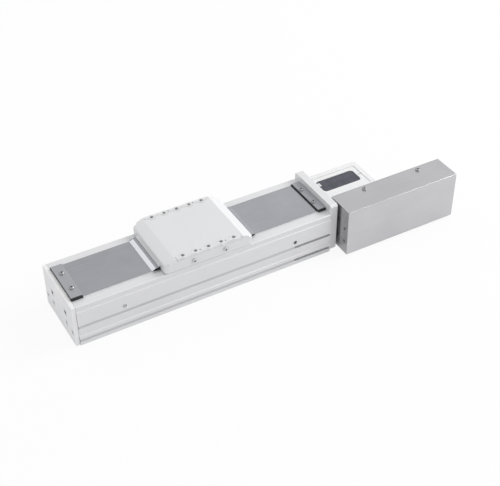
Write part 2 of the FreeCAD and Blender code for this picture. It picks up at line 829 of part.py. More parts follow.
# Drive housing: a block with the pulley chamber, the bearing seats through both sides
# and the ledge of its top cover.
HOUSING_END = f"({HOUSING_X} + housing_length)"
COVER_END = f"({HOUSING_END} - cover_rim)"
COVER_FRONT = "(-housing_front + cover_rim)"
COVER_BACK = "(housing_back - cover_rim)"
COVER_SEAT = "(housing_top - cover_sink - cover_thick)"
drive_housing = new_body("drive_housing")
housing_outline = [
    (HOUSING_X, "-housing_front"),
    (f"{HOUSING_END} - housing_corner", "-housing_front"),
    (HOUSING_END, "-housing_front + housing_corner"),
    (HOUSING_END, "housing_back - housing_corner"),
    (f"{HOUSING_END} - housing_corner", "housing_back"),
    (HOUSING_X, "housing_back"),
]
pad(drive_housing, "Z", "housing_bottom", "housing_top", housing_outline)
chamber = rectangle(
    HOUSING_X, "-housing_cavity_half", f"{HOUSING_END} - housing_end_wall", "housing_cavity_half"
)
cut(drive_housing, "Z", "housing_cavity_low", "housing_top", chamber)
ledge = rectangle(HOUSING_X, COVER_FRONT, COVER_END, COVER_BACK)
cut(drive_housing, "Z", COVER_SEAT, "housing_top", ledge)
cut(drive_housing, "Y", "-housing_front", "housing_back", (SHAFT_SPOT, "drive_bearing_radius"))
housing_holes = [(spot, "medium_shank") for spot in HOUSING_SPOTS]
cut(drive_housing, "X", HOUSING_X, f"{HOUSING_X} + housing_tap_depth", *housing_holes)
MOTOR_PLATE_SPOTS = [
    (f"{HOUSING_X} + {reach}", height)
    for reach in ("motor_plate_screw_in", "housing_length - motor_plate_screw_in")
    for height in ("motor_plate_screw_low", "motor_plate_screw_high")
]
mount_holes = [(spot, "medium_shank") for spot in MOTOR_PLATE_SPOTS]
cut(drive_housing, "Y", "-housing_front", "-housing_front + motor_plate_tap_depth", *mount_holes)

housing_cover = new_body("housing_cover")
cover_outline = rectangle(
    f"{HOUSING_X} + run_clearance", f"{COVER_FRONT} + run_clearance",
    f"{COVER_END} - run_clearance", f"{COVER_BACK} - run_clearance",
)
COVER_TOP = "(housing_top - cover_sink)"
pad(housing_cover, "Z", COVER_SEAT, COVER_TOP, cover_outline)
WINDOW_X = f"({HOUSING_X} + window_start)"


def window_outline(reach):
    """The outline of the cover's window, moved out by a reach all round."""
    return rectangle(
        f"{WINDOW_X} - ({reach})", f"window_y - window_half - ({reach})",
        f"{WINDOW_X} + window_length + ({reach})", f"window_y + window_half + ({reach})",
    )


cut(housing_cover, "Z", COVER_SEAT, COVER_TOP, window_outline("0"))
window_sides = [
    sheet.get("window_y") - sheet.get("window_half"), sheet.get("window_y") + sheet.get("window_half")
]
round_edges(
    housing_cover, "Z", "window_corner",
    lambda point: min(abs(point.y - side) for side in window_sides) < 1e-3,
)
LIP_TOP = f"({COVER_SEAT} + plug_lip_thick)"
cut(housing_cover, "Z", COVER_SEAT, LIP_TOP, window_outline("plug_lip + hole_clearance"))
lift_slot = rectangle(
    f"{COVER_END} - lift_slot_length", "window_y - lift_slot_width / 2",
    COVER_END, "window_y + lift_slot_width / 2",
)
cut(housing_cover, "Z", f"{COVER_TOP} - cover_thick / 2", COVER_TOP, lift_slot)

# The dark plug that closes the window, with a lip held between the cover and the housing.
window_plug = new_body("window_plug")
pad(window_plug, "Z", COVER_SEAT, LIP_TOP, window_outline("plug_lip"))
pad(window_plug, "Z", LIP_TOP, f"{COVER_TOP} - plug_sink", window_outline("-hole_clearance"))
lip_sides = [
    sheet.get("window_y") + sign * (sheet.get("window_half") + sheet.get("plug_lip")) for sign in (-1, 1)
]
round_edges(
    window_plug, "Z", "window_corner - hole_clearance",
    lambda point: min(abs(point.y - side) for side in lip_sides) > 1e-3,
)

bearing_cap = new_body("bearing_cap")
pad(
    bearing_cap, "Y", "housing_back - bearing_cap_thick", "housing_back",
    (SHAFT_SPOT, "drive_bearing_radius - fit"),
)

# Guide rails with a waisted section, and the screws that hold them to the floor.
rail_half = [
    ("rail_width / 2", "floor_top"),
    ("rail_width / 2", "floor_top + rail_height / 2 - rail_waist"),
    ("rail_width / 2 - rail_waist", "floor_top + rail_height / 2"),
    ("rail_width / 2", "floor_top + rail_height / 2 + rail_waist"),
    ("rail_width / 2", "floor_top + rail_height"),
]
for side, sign in (("front", "-"), ("back", "+")):
    rail = new_body(f"guide_rail_{side}")
    section = [(f"{sign}rail_y + {u}", v) for u, v in both_sides(rail_half)]
    pad(rail, "X", "-rail_half_length", "rail_half_length", section)
    screw_holes = [((x, f"{sign}rail_y"), "small_shank + hole_clearance") for x in RAIL_SCREW_X]
    cut(rail, "Z", "floor_top", "floor_top + rail_height", *screw_holes)
    head_holes = [((x, f"{sign}rail_y"), "small_head + hole_clearance") for x in RAIL_SCREW_X]
    cut(rail, "Z", "floor_top + rail_height / 2", "floor_top + rail_height", *head_holes)
rail_screw = screw("rail_screw", "small_shank", "small_head", "small_head_height", "rail_height")
copies(
    "rail_screws",
    rail_screw,
    *[("+Z", x, f"{side}rail_y", "floor_top + rail_height / 2") for x in RAIL_SCREW_X for side in "+-"],
)

# Runner blocks that straddle the rails, with a moulded cap on each end.
RUNNER_LOW = "(floor_top + runner_under)"
RAIL_GAP = "rail_width / 2 + run_clearance"
runner_section = both_sides([
    (RAIL_GAP, "floor_top + rail_height + run_clearance"),
    (RAIL_GAP, RUNNER_LOW),
    ("runner_half", RUNNER_LOW),
    ("runner_half", "runner_top"),
])
runner_cap = doc.addObject("PartDesign::Body", "runner_cap")
cap_section = [(u, v.replace("runner_top", "runner_top - run_clearance")) for u, v in runner_section]
pad(runner_cap, "X", "-runner_cap / 2", "runner_cap / 2", cap_section)
cap_spots = []
number = 0
for way in "-+":
    for side in "-+":
        number += 1
        middle = f"{way}runner_x"
        runner = new_body(f"runner_block_{number}")
        section = [(f"{side}rail_y + {u}", v) for u, v in runner_section]
        steel = "(runner_length / 2 - runner_cap)"
        pad(runner, "X", f"{middle} - {steel}", f"{middle} + {steel}", section)
        for end in "-+":
            spot = f"{middle} {end} (runner_length - runner_cap) / 2"
            cap_spots.append(("+Z", spot, f"{side}rail_y", "0"))
copies("runner_end_caps", runner_cap, *cap_spots)

# Carriage base: pads with the tapped holes along both edges, a bridge under the lifted
# strip, a neck between the lips and legs that stand on the runner blocks.
PAD_TOP = "(carriage_top + pad_rise)"
COVER_UNDER = "(carriage_top - cover_top_skin)"
PAD_IN = "(carriage_side - pad_width)"
SKIRT_IN = "(carriage_side - cover_skin - cover_clearance)"
PAD_UNDER = f"({COVER_UNDER} - pad_lip)"
BRIDGE_UNDER = f"({BELT_TOP} + fit)"
carriage_base = new_body("carriage_base")
base_half = [
    ("tunnel_half", "strip_raised - run_clearance"),
    ("tunnel_half", f"{COVER_UNDER} - cover_clearance"),
    (PAD_IN, f"{COVER_UNDER} - cover_clearance"),
    (PAD_IN, PAD_TOP),
    ("carriage_side", PAD_TOP),
    ("carriage_side", PAD_UNDER),
    (SKIRT_IN, PAD_UNDER),
    (SKIRT_IN, "strip_seat + wall_gap"),
    ("neck_half", "strip_seat + wall_gap"),
    ("neck_half", "leg_foot_top"),
    ("foot_half", "leg_foot_top"),
    ("foot_half", "runner_top"),
    ("leg_inner", "runner_top"),
    ("leg_inner", BRIDGE_UNDER),
]
pad(carriage_base, "X", "-carriage_half", "carriage_half", both_sides(base_half))


def hole_rows(*steps):
    """Spots on both pads at the given numbers of pitches from the middle."""
    return [(f"{step} * hole_pitch", f"{side}hole_y") for step in steps for side in "+-"]


TAPPED_SPOTS = hole_rows(-2, 0, 2)
PIN_SPOTS = hole_rows(-1, 1)
HOLE_SPOTS = TAPPED_SPOTS + PIN_SPOTS
bosses = [(spot, "boss_radius") for spot in HOLE_SPOTS]
pad(carriage_base, "Z", f"{COVER_UNDER} - cover_clearance", PAD_TOP, *bosses)
pad_holes = [(spot, "hole_radius") for spot in TAPPED_SPOTS]
pad_holes += [(spot, "pin_radius") for spot in PIN_SPOTS]
cut(carriage_base, "Z", f"{PAD_TOP} - hole_depth", PAD_TOP, *pad_holes)
vents = [
    ((f"{step} * hole_pitch + vent_shift", f"{side}(hole_y + vent_out)"), "vent_radius")
    for step in (-1, 1)
    for side in "+-"
]
cut(carriage_base, "Z", f"{PAD_TOP} - vent_depth", PAD_TOP, *vents)
COVER_SCREW_HOLES = [((f"{way}cover_screw_x", "cover_screw_z"), "small_shank") for way in "+-"]
cut(carriage_base, "Y", f"-{SKIRT_IN}", f"-{SKIRT_IN} + cover_tap_depth", *COVER_SCREW_HOLES)
cut(carriage_base, "Y", f"{SKIRT_IN} - cover_tap_depth", SKIRT_IN, *COVER_SCREW_HOLES)


def belt_clamp_spots(sign):
    """The screws of the belt clamp on one side of the carriage's middle."""
    return [
        (f"{sign}(belt_clamp_start + belt_clamp_length * {quarters} / 4)", f"{side}belt_clamp_screw_y")
        for quarters in (1, 3)
        for side in "+-"
    ]


BELT_CLAMP_SPOTS = belt_clamp_spots("-") + belt_clamp_spots("+")
clamp_taps = [(spot, "small_shank") for spot in BELT_CLAMP_SPOTS]
cut(carriage_base, "Z", BRIDGE_UNDER, f"{BRIDGE_UNDER} + belt_clamp_tap_depth", *clamp_taps)

# Carriage cover: a cap with sloped, rounded ends, open below for the base and through
# its ends for the strip, with its edge cut round the pads.
carriage_cover = new_body("carriage_cover")
cap_half = [
    ("cover_half", "wall_top + wall_gap"),
    ("cover_half", "cover_shoulder"),
    ("cover_bend_half", "cover_bend"),
    ("cover_flat_half", "carriage_top"),
]
pad(carriage_cover, "Y", "-carriage_side", "carriage_side", both_sides(cap_half))
round_edges(carriage_cover, "Z", "cover_corner", lambda point: True)
shoulder_height = sheet.get("cover_shoulder")
round_edges(carriage_cover, "Y", "cover_round", lambda point: point.z > shoulder_height - 1e-3)
BAY_X = "(carriage_half + cover_clearance)"
BAY_Y = "(carriage_side - cover_skin)"
bay = rectangle(f"-{BAY_X}", f"-{BAY_Y}", BAY_X, BAY_Y)
cut(carriage_cover, "Z", "wall_top", COVER_UNDER, bay)
pad_gap = "cover_clearance / 2"
for side in "+-":
    near, far = f"{side}({PAD_IN} - {pad_gap})", f"{side}(carriage_side + cover_clearance)"
    if side == "-":
        near, far = far, near
    strip_of_edge = rectangle(f"-{BAY_X}", near, BAY_X, far)
    cut(carriage_cover, "Z", f"{PAD_UNDER} - {pad_gap}", f"{PAD_TOP}", strip_of_edge)
notches = [(spot, f"boss_radius + {pad_gap}") for spot in HOLE_SPOTS]
cut(carriage_cover, "Z", f"{COVER_UNDER} - fit", PAD_TOP, *notches)
strip_passage = rectangle(
    f"-({SEAT_EDGE} + cover_clearance)", "wall_top", f"{SEAT_EDGE} + cover_clearance", "strip_way"
)
cut(carriage_cover, "X", "-cover_half", "cover_half", strip_passage)
skirt_holes = [(spot, "small_shank + hole_clearance") for spot, radius in COVER_SCREW_HOLES]
cut(carriage_cover, "Y", "-carriage_side", "carriage_side", *skirt_holes)
cover_screw = screw(
    "cover_screw", "small_shank", "small_head", "small_head_height",
    "cover_skin + cover_tap_depth - tap_spare",
)
copies(
    "carriage_cover_screws",
    cover_screw,
    *[
        (f"{side}Y", f"{way}cover_screw_x", f"{side}carriage_side", "cover_screw_z")
        for way in "+-"
        for side in "+-"
    ],
)

# Shoes under the cover's ends that keep the strip down on its ramp.
RAMP = "((strip_raised - strip_seat) / strip_ramp)"
SHOE_GAP = "(strip_thick + run_clearance)"
shoe_end = "(cover_half - cover_clearance)"
shoe_outline = [
    (BAY_X, f"strip_raised + {SHOE_GAP}"),
    ("strip_high_half", f"strip_raised + {SHOE_GAP}"),
    (shoe_end, f"strip_raised + {SHOE_GAP} - {RAMP} * ({shoe_end} - strip_high_half)"),
    (shoe_end, "strip_way - fit"),
    (BAY_X, "strip_way - fit"),
]
for side, sign in (("left", "-"), ("right", "")):
    shoe = new_body(f"strip_shoe_{side}")
    pad(shoe, "Y", "-strip_half", "strip_half", [(f"{sign}{u}", v) for u, v in shoe_outline])

# Toothed clamps that hold the two ends of the belt under the bridge.
LAND_Z = f"(axis_height + {PITCH_RADIUS} - belt_land)"
CLAMP_TOP = f"({LAND_Z} - pulley_clearance)"
TEETH_PAST = {
    "-": f"(floor(({DRIVE_X} + belt_clamp_start) / belt_pitch) + 1)",
    "+": f"floor(({DRIVE_X} - belt_clamp_start) / belt_pitch)",
}
for side, sign in (("left", "-"), ("right", "+")):
    clamp = new_body(f"belt_clamp_{side}")
    start, end = "belt_clamp_start", "(belt_clamp_start + belt_clamp_length)"
    low, high = (f"-{end}", f"-{start}") if sign == "-" else (start, end)
    clamp_low = f"{CLAMP_TOP} - belt_clamp_thick"
    pad(
        clamp, "Z", clamp_low, CLAMP_TOP,
        rectangle(low, "-belt_clamp_half", high, "belt_clamp_half"),
    )
    mouth = "(belt_tooth_base / 2 + groove_clearance)"
    tip = "(belt_tooth_tip / 2 + groove_clearance)"
    first = f"({DRIVE_X} - belt_pitch * {TEETH_PAST[sign]})"
    tooth_space = [
        (f"{first} - {mouth}", CLAMP_TOP),
        (f"{first} + {mouth}", CLAMP_TOP),
        (f"{first} + {tip}", f"{CLAMP_TOP} - groove_depth"),
        (f"{first} - {tip}", f"{CLAMP_TOP} - groove_depth"),
    ]
    groove = cut(clamp, "Y", "-belt_clamp_half", "belt_clamp_half", tooth_space)
    pattern = clamp.newObject("PartDesign::LinearPattern", f"belt_clamp_{side}_teeth")
    pattern.Originals = [groove]
    line = next(item for item in clamp.Origin.OriginFeatures if item.Role == "X_Axis")
    pattern.Direction = (line, [""])
    pattern.Reversed = sign == "-"
    bind(pattern, "Occurrences", "floor(belt_clamp_length / belt_pitch) + 1")
    bind(pattern, "Length", "belt_pitch * floor(belt_clamp_length / belt_pitch)")
    clamp.Tip = pattern
    clamp_holes = [(spot, "small_shank + hole_clearance") for spot in belt_clamp_spots(sign)]
    cut(clamp, "Z", clamp_low, CLAMP_TOP, *clamp_holes)
belt_clamp_screw = screw(
    "belt_clamp_screw", "small_shank", "small_head", "small_head_height",
    "belt_clamp_thick + belt_back + belt_land + belt_clamp_tap_depth - tap_spare",
)
copies(
    "belt_clamp_screws",
    belt_clamp_screw,
    *[("-Z", x, y, f"{CLAMP_TOP} - belt_clamp_thick") for x, y in BELT_CLAMP_SPOTS],
)

# End stops: rubber buffers on the tension block, and on posts from the drive flange.
bumper = doc.addObject("PartDesign::Body", "bumper")
pad(bumper, "Z", "0", "bumper_length", (("0", "0"), "bumper_radius"))
copies(
    "bumper_left", bumper, *[("+X", BLOCK_END, f"{side}bumper_y", "bumper_z") for side in "+-"]
)
post = doc.addObject("PartDesign::Body", "post")
pad(post, "Z", "0", f"{BODY_END} - post_end", (("0", "0"), "bumper_radius"))
copies(
    "bumper_posts", post, *[("-X", BODY_END, f"{side}tension_y", "bumper_z") for side in "+-"]
)
copies(
    "bumper_right", bumper, *[("-X", "post_end", f"{side}tension_y", "bumper_z") for side in "+-"]
)

# Side stage: the plate on the housing's front that a motor bolts to from behind, and the
# sheet box that closes the stage.
motor_plate = new_body("motor_plate")
margin = "(box_skin + motor_plate_fit)"
plate_face = rectangle(
    f"{BOX_X} + {margin}", f"box_bottom + {margin}", f"{BOX_END} - {margin}", f"box_top - {margin}"
)
pad(motor_plate, "Y", PLATE_FRONT, "-housing_front", plate_face)
MOTOR_SPOT = (MOTOR_X, "axis_height")
openings = [(SHAFT_SPOT, "shaft_hole_radius"), (MOTOR_SPOT, "motor_pilot_radius")]
cut(motor_plate, "Y", PLATE_FRONT, "-housing_front", *openings)
BOLT_STEP = "motor_bolt_circle / 2 / sqrt(2)"
motor_holes = [
    ((f"{MOTOR_X} {way} {BOLT_STEP}", f"axis_height {rise} {BOLT_STEP}"), "motor_bolt_radius")
    for way in "+-"
    for rise in "+-"
]
motor_holes += [(spot, "medium_shank + hole_clearance") for spot in MOTOR_PLATE_SPOTS]
cut(motor_plate, "Y", PLATE_FRONT, "-housing_front", *motor_holes)
plate_screw_long = screw(
    "plate_screw_long", "medium_shank", "medium_head", "medium_head_height / 2",
    "motor_plate_thick + motor_plate_tap_depth - tap_spare",
)
copies(
    "motor_plate_screws",
    plate_screw_long,
    *[("-Y", x, PLATE_FRONT, z) for x, z in MOTOR_PLATE_SPOTS],
)
BOX_SCREW_X = [f"({BOX_X} + box_screw_first)", f"({BOX_END} - box_screw_last)"]
BOX_SCREW_Y = "(-housing_front - box_screw_y)"
plate_taps = [((x, BOX_SCREW_Y), "small_shank") for x in BOX_SCREW_X]
cut(motor_plate, "Z", f"box_top - {margin} - box_screw_depth", f"box_top - {margin}", *plate_taps)

belt_box_cover = new_body("belt_box_cover")
box_outside = rectangle(BOX_X, "box_bottom", BOX_END, "box_top")
pad(belt_box_cover, "Y", BOX_FRONT, "-housing_front", box_outside)
box_inside = rectangle(
    f"{BOX_X} + box_skin", "box_bottom + box_skin", f"{BOX_END} - box_skin", "box_top - box_skin"
)
cut(belt_box_cover, "Y", f"{BOX_FRONT} + box_skin", "-housing_front", box_inside)
lid_holes = [((x, BOX_SCREW_Y), "small_shank + hole_clearance") for x in BOX_SCREW_X]
cut(belt_box_cover, "Z", "box_top - box_skin", "box_top", *lid_holes)
box_screw = screw(
    "box_screw", "small_shank", "small_head", "small_head_height", f"{margin} + box_screw_depth"
)
copies("box_cover_screws", box_screw, *[("+Z", x, BOX_SCREW_Y, "box_top") for x in BOX_SCREW_X])

# Set screws that plug the tapped holes in the sides of the body.
plug = doc.addObject("PartDesign::Body", "plug")
pad(plug, "Z", "-side_plug_depth", "-slot_cover_inset", (("0", "0"), "medium_shank - fit"))
copies(
    "side_plugs",
    plug,
    *[
        (f"{side}Y", f"{way}side_plug_x + side_plug_shift", f"{side}{FACE}", "side_plug_z")
        for way in "+-"
        for side in "+-"
    ],
)
doc.recompute()


# Toothed belts: the loop's outline is followed by its length along the pitch line, so
# each tooth falls into a groove of the pulleys that it wraps.
def belt(label, left, right, teeth):
    pitch = sheet.get("belt_pitch")
    radius = teeth * pitch / (2 * math.pi)
    span = right.x - left.x
    wrap = math.pi * radius

    def spot(length, depth):
        """The point a length along the pitch line from the right pulley's top, and a
        depth inside it."""
        length %= 2 * (span + wrap)
        if length < span:
            return FreeCAD.Vector(right.x - length, left.y, left.z + radius - depth)
        length -= span
        if length < wrap:
            turn = math.pi / 2 + length / radius
            out = radius - depth
            return FreeCAD.Vector(
                left.x + out * math.cos(turn), left.y, left.z + out * math.sin(turn)
            )
        length -= wrap
        if length < span:
            return FreeCAD.Vector(left.x + length, left.y, left.z - radius + depth)
        turn = -math.pi / 2 + (length - span) / radius
        out = radius - depth
        return FreeCAD.Vector(
            right.x + out * math.cos(turn), left.y, left.z + out * math.sin(turn)
        )

    land = sheet.get("belt_land")
    tip = land + sheet.get("belt_tooth_height")
    half_base = sheet.get("belt_tooth_base") / 2
    half_tip = sheet.get("belt_tooth_tip") / 2
    inside = []
    for step in range(round(2 * (span + wrap) / pitch)):
        middle = step * pitch
        corners = [
            spot(middle - half_base, land),
            spot(middle - half_tip, tip),
            spot(middle + half_tip, tip),
            spot(middle + half_base, land),
        ]
        inside += [Part.LineSegment(a, b).toShape() for a, b in zip(corners, corners[1:])]
        following = spot(middle + pitch - half_base, land)
        between = spot(middle + pitch / 2, land)
        bowed = between.distanceToLine(corners[3], following - corners[3]) > 1e-6
        if bowed:
            inside.append(Part.Arc(corners[3], between, following).toShape())
        else:
            inside.append(Part.LineSegment(corners[3], following).toShape())
    back = -sheet.get("belt_back")
    turns = [spot(0, back), spot(span, back), spot(span + wrap, back), spot(2 * span + wrap, back)]
    outside = [
        Part.LineSegment(turns[0], turns[1]).toShape(),
        Part.Arc(turns[1], spot(span + wrap / 2, back), turns[2]).toShape(),
        Part.LineSegment(turns[2], turns[3]).toShape(),
        Part.Arc(turns[3], spot(2 * span + 1.5 * wrap, back), turns[0]).toShape(),
    ]
    width = sheet.get("belt_width")
    across = FreeCAD.Vector(0, width, 0)
    whole, core = (Part.Face(Part.Wire(edges)).extrude(across) for edges in (outside, inside))
    loop = whole.cut(core)
    loop.translate(-across / 2)
    return piece("Part::Feature", label), loop


main_belt, loop = belt(
    "main_belt", idler_pulley.Placement.Base, drive_pulley.Placement.Base,
    round(sheet.get("pulley_teeth")),
)
gap = sheet.get("belt_end_gap")
top = sheet.get("wall_top")
opening = Part.makeBox(
    gap, 2 * top, top, FreeCAD.Vector(-gap / 2, -top, sheet.get("axis_height"))
)
main_belt.Shape = loop.cut(opening)
motor_belt, loop = belt(
    "motor_belt", driven_pulley.Placement.Base, motor_pulley.Placement.Base,
    round(sheet.get("side_pulley_teeth")),
)
motor_belt.Shape = loop
doc.recompute()

# Every feature must have worked, and each cut must have taken something away.
for item in doc.Objects:
    if "Invalid" in item.State or "Error" in item.State:
        raise RuntimeError(f"{item.Label} failed: {item.State}")
    if item.TypeId == "PartDesign::Pocket":
        if item.BaseFeature.Shape.Volume - item.Shape.Volume < 1e-3:
            raise RuntimeError(f"{item.Label} cuts nothing")
for item in pieces:
    if item.Shape.isNull() or not item.Shape.isValid() or not item.Shape.Solids:
        raise RuntimeError(f"{item.Label} has no sound solid")

os.makedirs("parts", exist_ok=True)
for item in pieces:
    item.Shape.exportStep(f"parts/{item.Label}.step")
print(len(pieces), "pieces")
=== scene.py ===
import itertools
import math

import bmesh
import bpy
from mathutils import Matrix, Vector


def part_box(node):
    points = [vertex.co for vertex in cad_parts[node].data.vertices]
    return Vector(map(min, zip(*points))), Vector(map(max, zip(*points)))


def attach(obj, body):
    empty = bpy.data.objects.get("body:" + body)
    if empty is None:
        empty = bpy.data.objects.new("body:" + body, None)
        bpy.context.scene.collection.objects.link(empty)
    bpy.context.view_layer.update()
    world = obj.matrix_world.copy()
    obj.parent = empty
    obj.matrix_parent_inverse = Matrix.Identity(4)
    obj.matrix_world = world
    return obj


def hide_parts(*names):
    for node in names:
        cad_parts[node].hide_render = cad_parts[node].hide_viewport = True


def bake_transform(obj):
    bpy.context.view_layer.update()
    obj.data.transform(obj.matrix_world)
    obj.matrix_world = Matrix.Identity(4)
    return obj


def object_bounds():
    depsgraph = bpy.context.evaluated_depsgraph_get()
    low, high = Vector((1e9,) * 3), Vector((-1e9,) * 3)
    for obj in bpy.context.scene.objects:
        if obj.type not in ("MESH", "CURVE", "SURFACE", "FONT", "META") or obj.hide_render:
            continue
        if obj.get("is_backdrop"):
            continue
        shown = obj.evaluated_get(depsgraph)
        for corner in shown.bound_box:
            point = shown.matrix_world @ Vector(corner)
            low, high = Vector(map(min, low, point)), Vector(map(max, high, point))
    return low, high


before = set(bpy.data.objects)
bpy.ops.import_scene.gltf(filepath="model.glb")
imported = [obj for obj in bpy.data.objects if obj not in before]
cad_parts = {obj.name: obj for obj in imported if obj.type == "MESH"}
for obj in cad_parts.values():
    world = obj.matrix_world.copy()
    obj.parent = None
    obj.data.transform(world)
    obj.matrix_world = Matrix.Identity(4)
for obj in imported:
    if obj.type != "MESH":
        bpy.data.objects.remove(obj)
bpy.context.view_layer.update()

MM = 0.001


# Body: one aluminium extrusion with a slot high and low in each side, cut to length and
# anodised in its natural colour. The drawing die leaves faint lines along its whole length.
def add_node(tree, kind, inputs, **settings):
    """A node with its settings made, and each input set to a value or linked to a socket."""
    node = tree.nodes.new(kind)
    for name, value in settings.items():
        setattr(node, name, value)
    for key, entry in inputs.items():
        for value in entry if isinstance(entry, list) else [entry]:
            if isinstance(value, bpy.types.NodeSocket):
                tree.links.new(value, node.inputs[key])
            else:
                node.inputs[key].default_value = value
    return node.outputs


def drawn_lines_group():
    """Fine lines that run along one axis, and a slow cloudiness under them."""
    group = bpy.data.node_groups.new("drawn_lines", "ShaderNodeTree")
    for label, kind in (("Vector", "Vector"), ("Stretch", "Vector"), ("Cloud Size", "Float")):
        group.interface.new_socket(name=label, in_out="INPUT", socket_type=f"NodeSocket{kind}")
    for label in ("Lines", "Cloud"):
        group.interface.new_socket(name=label, in_out="OUTPUT", socket_type="NodeSocketFloat")
    given = add_node(group, "NodeGroupInput", {})
    noise = {}
    for label, size, operation, detail in (
        ("Lines", "Stretch", "MULTIPLY", 3), ("Cloud", "Cloud Size", "DIVIDE", 2),
    ):
        sized = add_node(
            group, "ShaderNodeVectorMath", {0: given["Vector"], 1: given[size]},
            operation=operation,
        )
        noise[label] = add_node(
            group, "ShaderNodeTexNoise",
            {"Vector": sized["Vector"], "Scale": 1, "Detail": detail},
        )["Fac"]
    add_node(group, "NodeGroupOutput", noise)
    return group


drawn_lines = drawn_lines_group()
TONE_FROM, TONE_TO = 0.7, 1.3
GLOSS_SPREAD = 0.05
RELIEF = 0.3


def lined_finish(name, dark, light, roughness, metallic, stretch, cloud_size=0.05, depth=0.01):
    """A material whose tone, gloss and relief follow fine lines.

    Stretch is the lines per metre along each axis, cloud_size is in metres, depth in mm.
    """
    finish = bpy.data.materials.new(name)
    finish.use_nodes = True
    tree = finish.node_tree
    place = add_node(tree, "ShaderNodeTexCoord", {})["Object"]
    pattern = add_node(
        tree, "ShaderNodeGroup",
        {"Vector": place, "Stretch": stretch, "Cloud Size": cloud_size}, node_tree=drawn_lines,
    )
    lines, cloud = pattern["Lines"], pattern["Cloud"]
    both = add_node(tree, "ShaderNodeMath", {0: lines, 1: cloud}, operation="ADD")["Value"]
    tone = add_node(
        tree, "ShaderNodeMapRange", {"Value": both, "From Min": TONE_FROM, "From Max": TONE_TO}
    )["Result"]
    colour = add_node(
        tree, "ShaderNodeMix", {"Factor": tone, "A": (*dark, 1), "B": (*light, 1)},
        data_type="RGBA",
    )["Result"]
    gloss = add_node(
        tree, "ShaderNodeMapRange",
        {"Value": lines, "To Min": roughness - GLOSS_SPREAD, "To Max": roughness + GLOSS_SPREAD},
    )["Result"]
    relief = add_node(
        tree, "ShaderNodeBump", {"Height": lines, "Strength": RELIEF, "Distance": depth * MM}
    )["Normal"]
    shader = tree.nodes["Principled BSDF"]
    shader.inputs["Metallic"].default_value = metallic
    tree.links.new(colour, shader.inputs["Base Color"])
    tree.links.new(gloss, shader.inputs["Roughness"])
    tree.links.new(relief, shader.inputs["Normal"])
    return finish


def add_object(name, data):
    """A new object of the scene with this mesh, lamp or camera."""
    made = bpy.data.objects.new(name, data)
    bpy.context.scene.collection.objects.link(made)
    return made


# Finishes of a dressed copy, in the order in which its mesh lists them.
PLAIN, EDGE, FACE, DARK = 0, 1, 2, 3
WELD, NEAR = 0.001 * MM, 0.05 * MM
FLAT_TURN, EDGE_TURN = math.radians(0.5), math.radians(32)
SHORT_EDGE, FINE_SHARE = 2.5 * MM, 0.3


def dressed_copy(node, body, finish, edge, segments=2, edge_finish=None, face_finish=None,
                 reshape=None, is_fine=None, clamped=False):
    """A copy of a solid with its flat faces joined and its edges broken, that stands for it."""
    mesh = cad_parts[node].data.copy()
    mesh.name = f"{node}_dressed"
    work = bmesh.new()
    work.from_mesh(mesh)
    bmesh.ops.remove_doubles(work, verts=work.verts, dist=WELD)
    bmesh.ops.dissolve_limit(work, angle_limit=FLAT_TURN, verts=work.verts, edges=work.edges)
    if reshape:
        reshape(work)
    # Long edges are broken in full, and the short ones round holes, and thin ones, less.
    weight = work.edges.layers.float.new("bevel_weight_edge")
    for line in work.edges:
        if len(line.link_faces) == 2 and line.calc_face_angle() > EDGE_TURN:
            is_short = line.calc_length() < SHORT_EDGE
            line[weight] = FINE_SHARE if is_short or (is_fine and is_fine(line)) else 1
    work.to_mesh(mesh)
    work.free()
    if "custom_normal" in mesh.attributes:
        mesh.attributes.remove(mesh.attributes["custom_normal"])
    mesh.materials.clear()
    for layer in (finish, edge_finish, face_finish):
        if layer:
            mesh.materials.append(layer)
    mesh.shade_smooth()
    piece = add_object(f"{node}_dressed", mesh)
    broken = piece.modifiers.new("broken_edges", "BEVEL")
    broken.width = edge
    broken.segments = segments
    broken.limit_method = "WEIGHT"
    broken.use_clamp_overlap = clamped
    broken.harden_normals = True
    broken.material = EDGE if edge_finish else -1
    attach(piece, body)
    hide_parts(node)
    return piece


anodised = lined_finish(
    "anodised_extrusion", (0.74, 0.742, 0.755), (0.77, 0.772, 0.782),
    roughness=0.5, metallic=0.3, stretch=(12, 2500, 2500),
)
# Painted highlight: broken edges, ledges and the end plate's top are painted near white. The
# pale clip in the window plug has this colour as its own.
highlight_and_pale_clip = lined_finish(
    "highlight_and_pale_clip", (0.90, 0.90, 0.905), (0.94, 0.94, 0.945),
    roughness=0.3, metallic=0.3, stretch=(60, 1500, 1500), cloud_size=0.02,
)
# Painted light: the walls' level tops are painted lighter than the sides.
painted_top_light = lined_finish(
    "painted_light_land", (0.84, 0.842, 0.85), (0.87, 0.872, 0.88),
    roughness=0.48, metallic=0.3, stretch=(12, 2500, 2500),
)
slot_shade = lined_finish(
    "slot_shade", (0.09, 0.09, 0.095), (0.13, 0.13, 0.135),
    roughness=0.6, metallic=0.2, stretch=(12, 2500, 2500),
)
# Each ledge: its height, inner and outer reach, and how far those two corners move.
LEDGES = (
    (45.3 * MM, 39.3 * MM, 39.7 * MM, 0.6 * MM, 1.0 * MM),
    (13 * MM, 39.7 * MM, 40 * MM, 0.6 * MM, 0.8 * MM),
)
# Least upward share of a level face's normal and of a sloped one's, and the most that a
# ledge's normal points along the body.
LEVEL, SLOPED, ALONG = 0.98, 0.3, 0.01
WALL_TOP = 51 * MM
SLOT_LEVELS = ((3.5 * MM, 9.7 * MM), (21.3 * MM, 27.5 * MM))
SLOT_FLOOR, SLOT_MOUTH = 34.5 * MM, 39.6 * MM
PLUG_SPOTS = ((-99.7 * MM, 31.5 * MM), (105.3 * MM, 31.5 * MM))
PLUG_HOLE, PLUG_FACE, PLUG_FLARE = 1.8 * MM, 39.5 * MM, 0.4


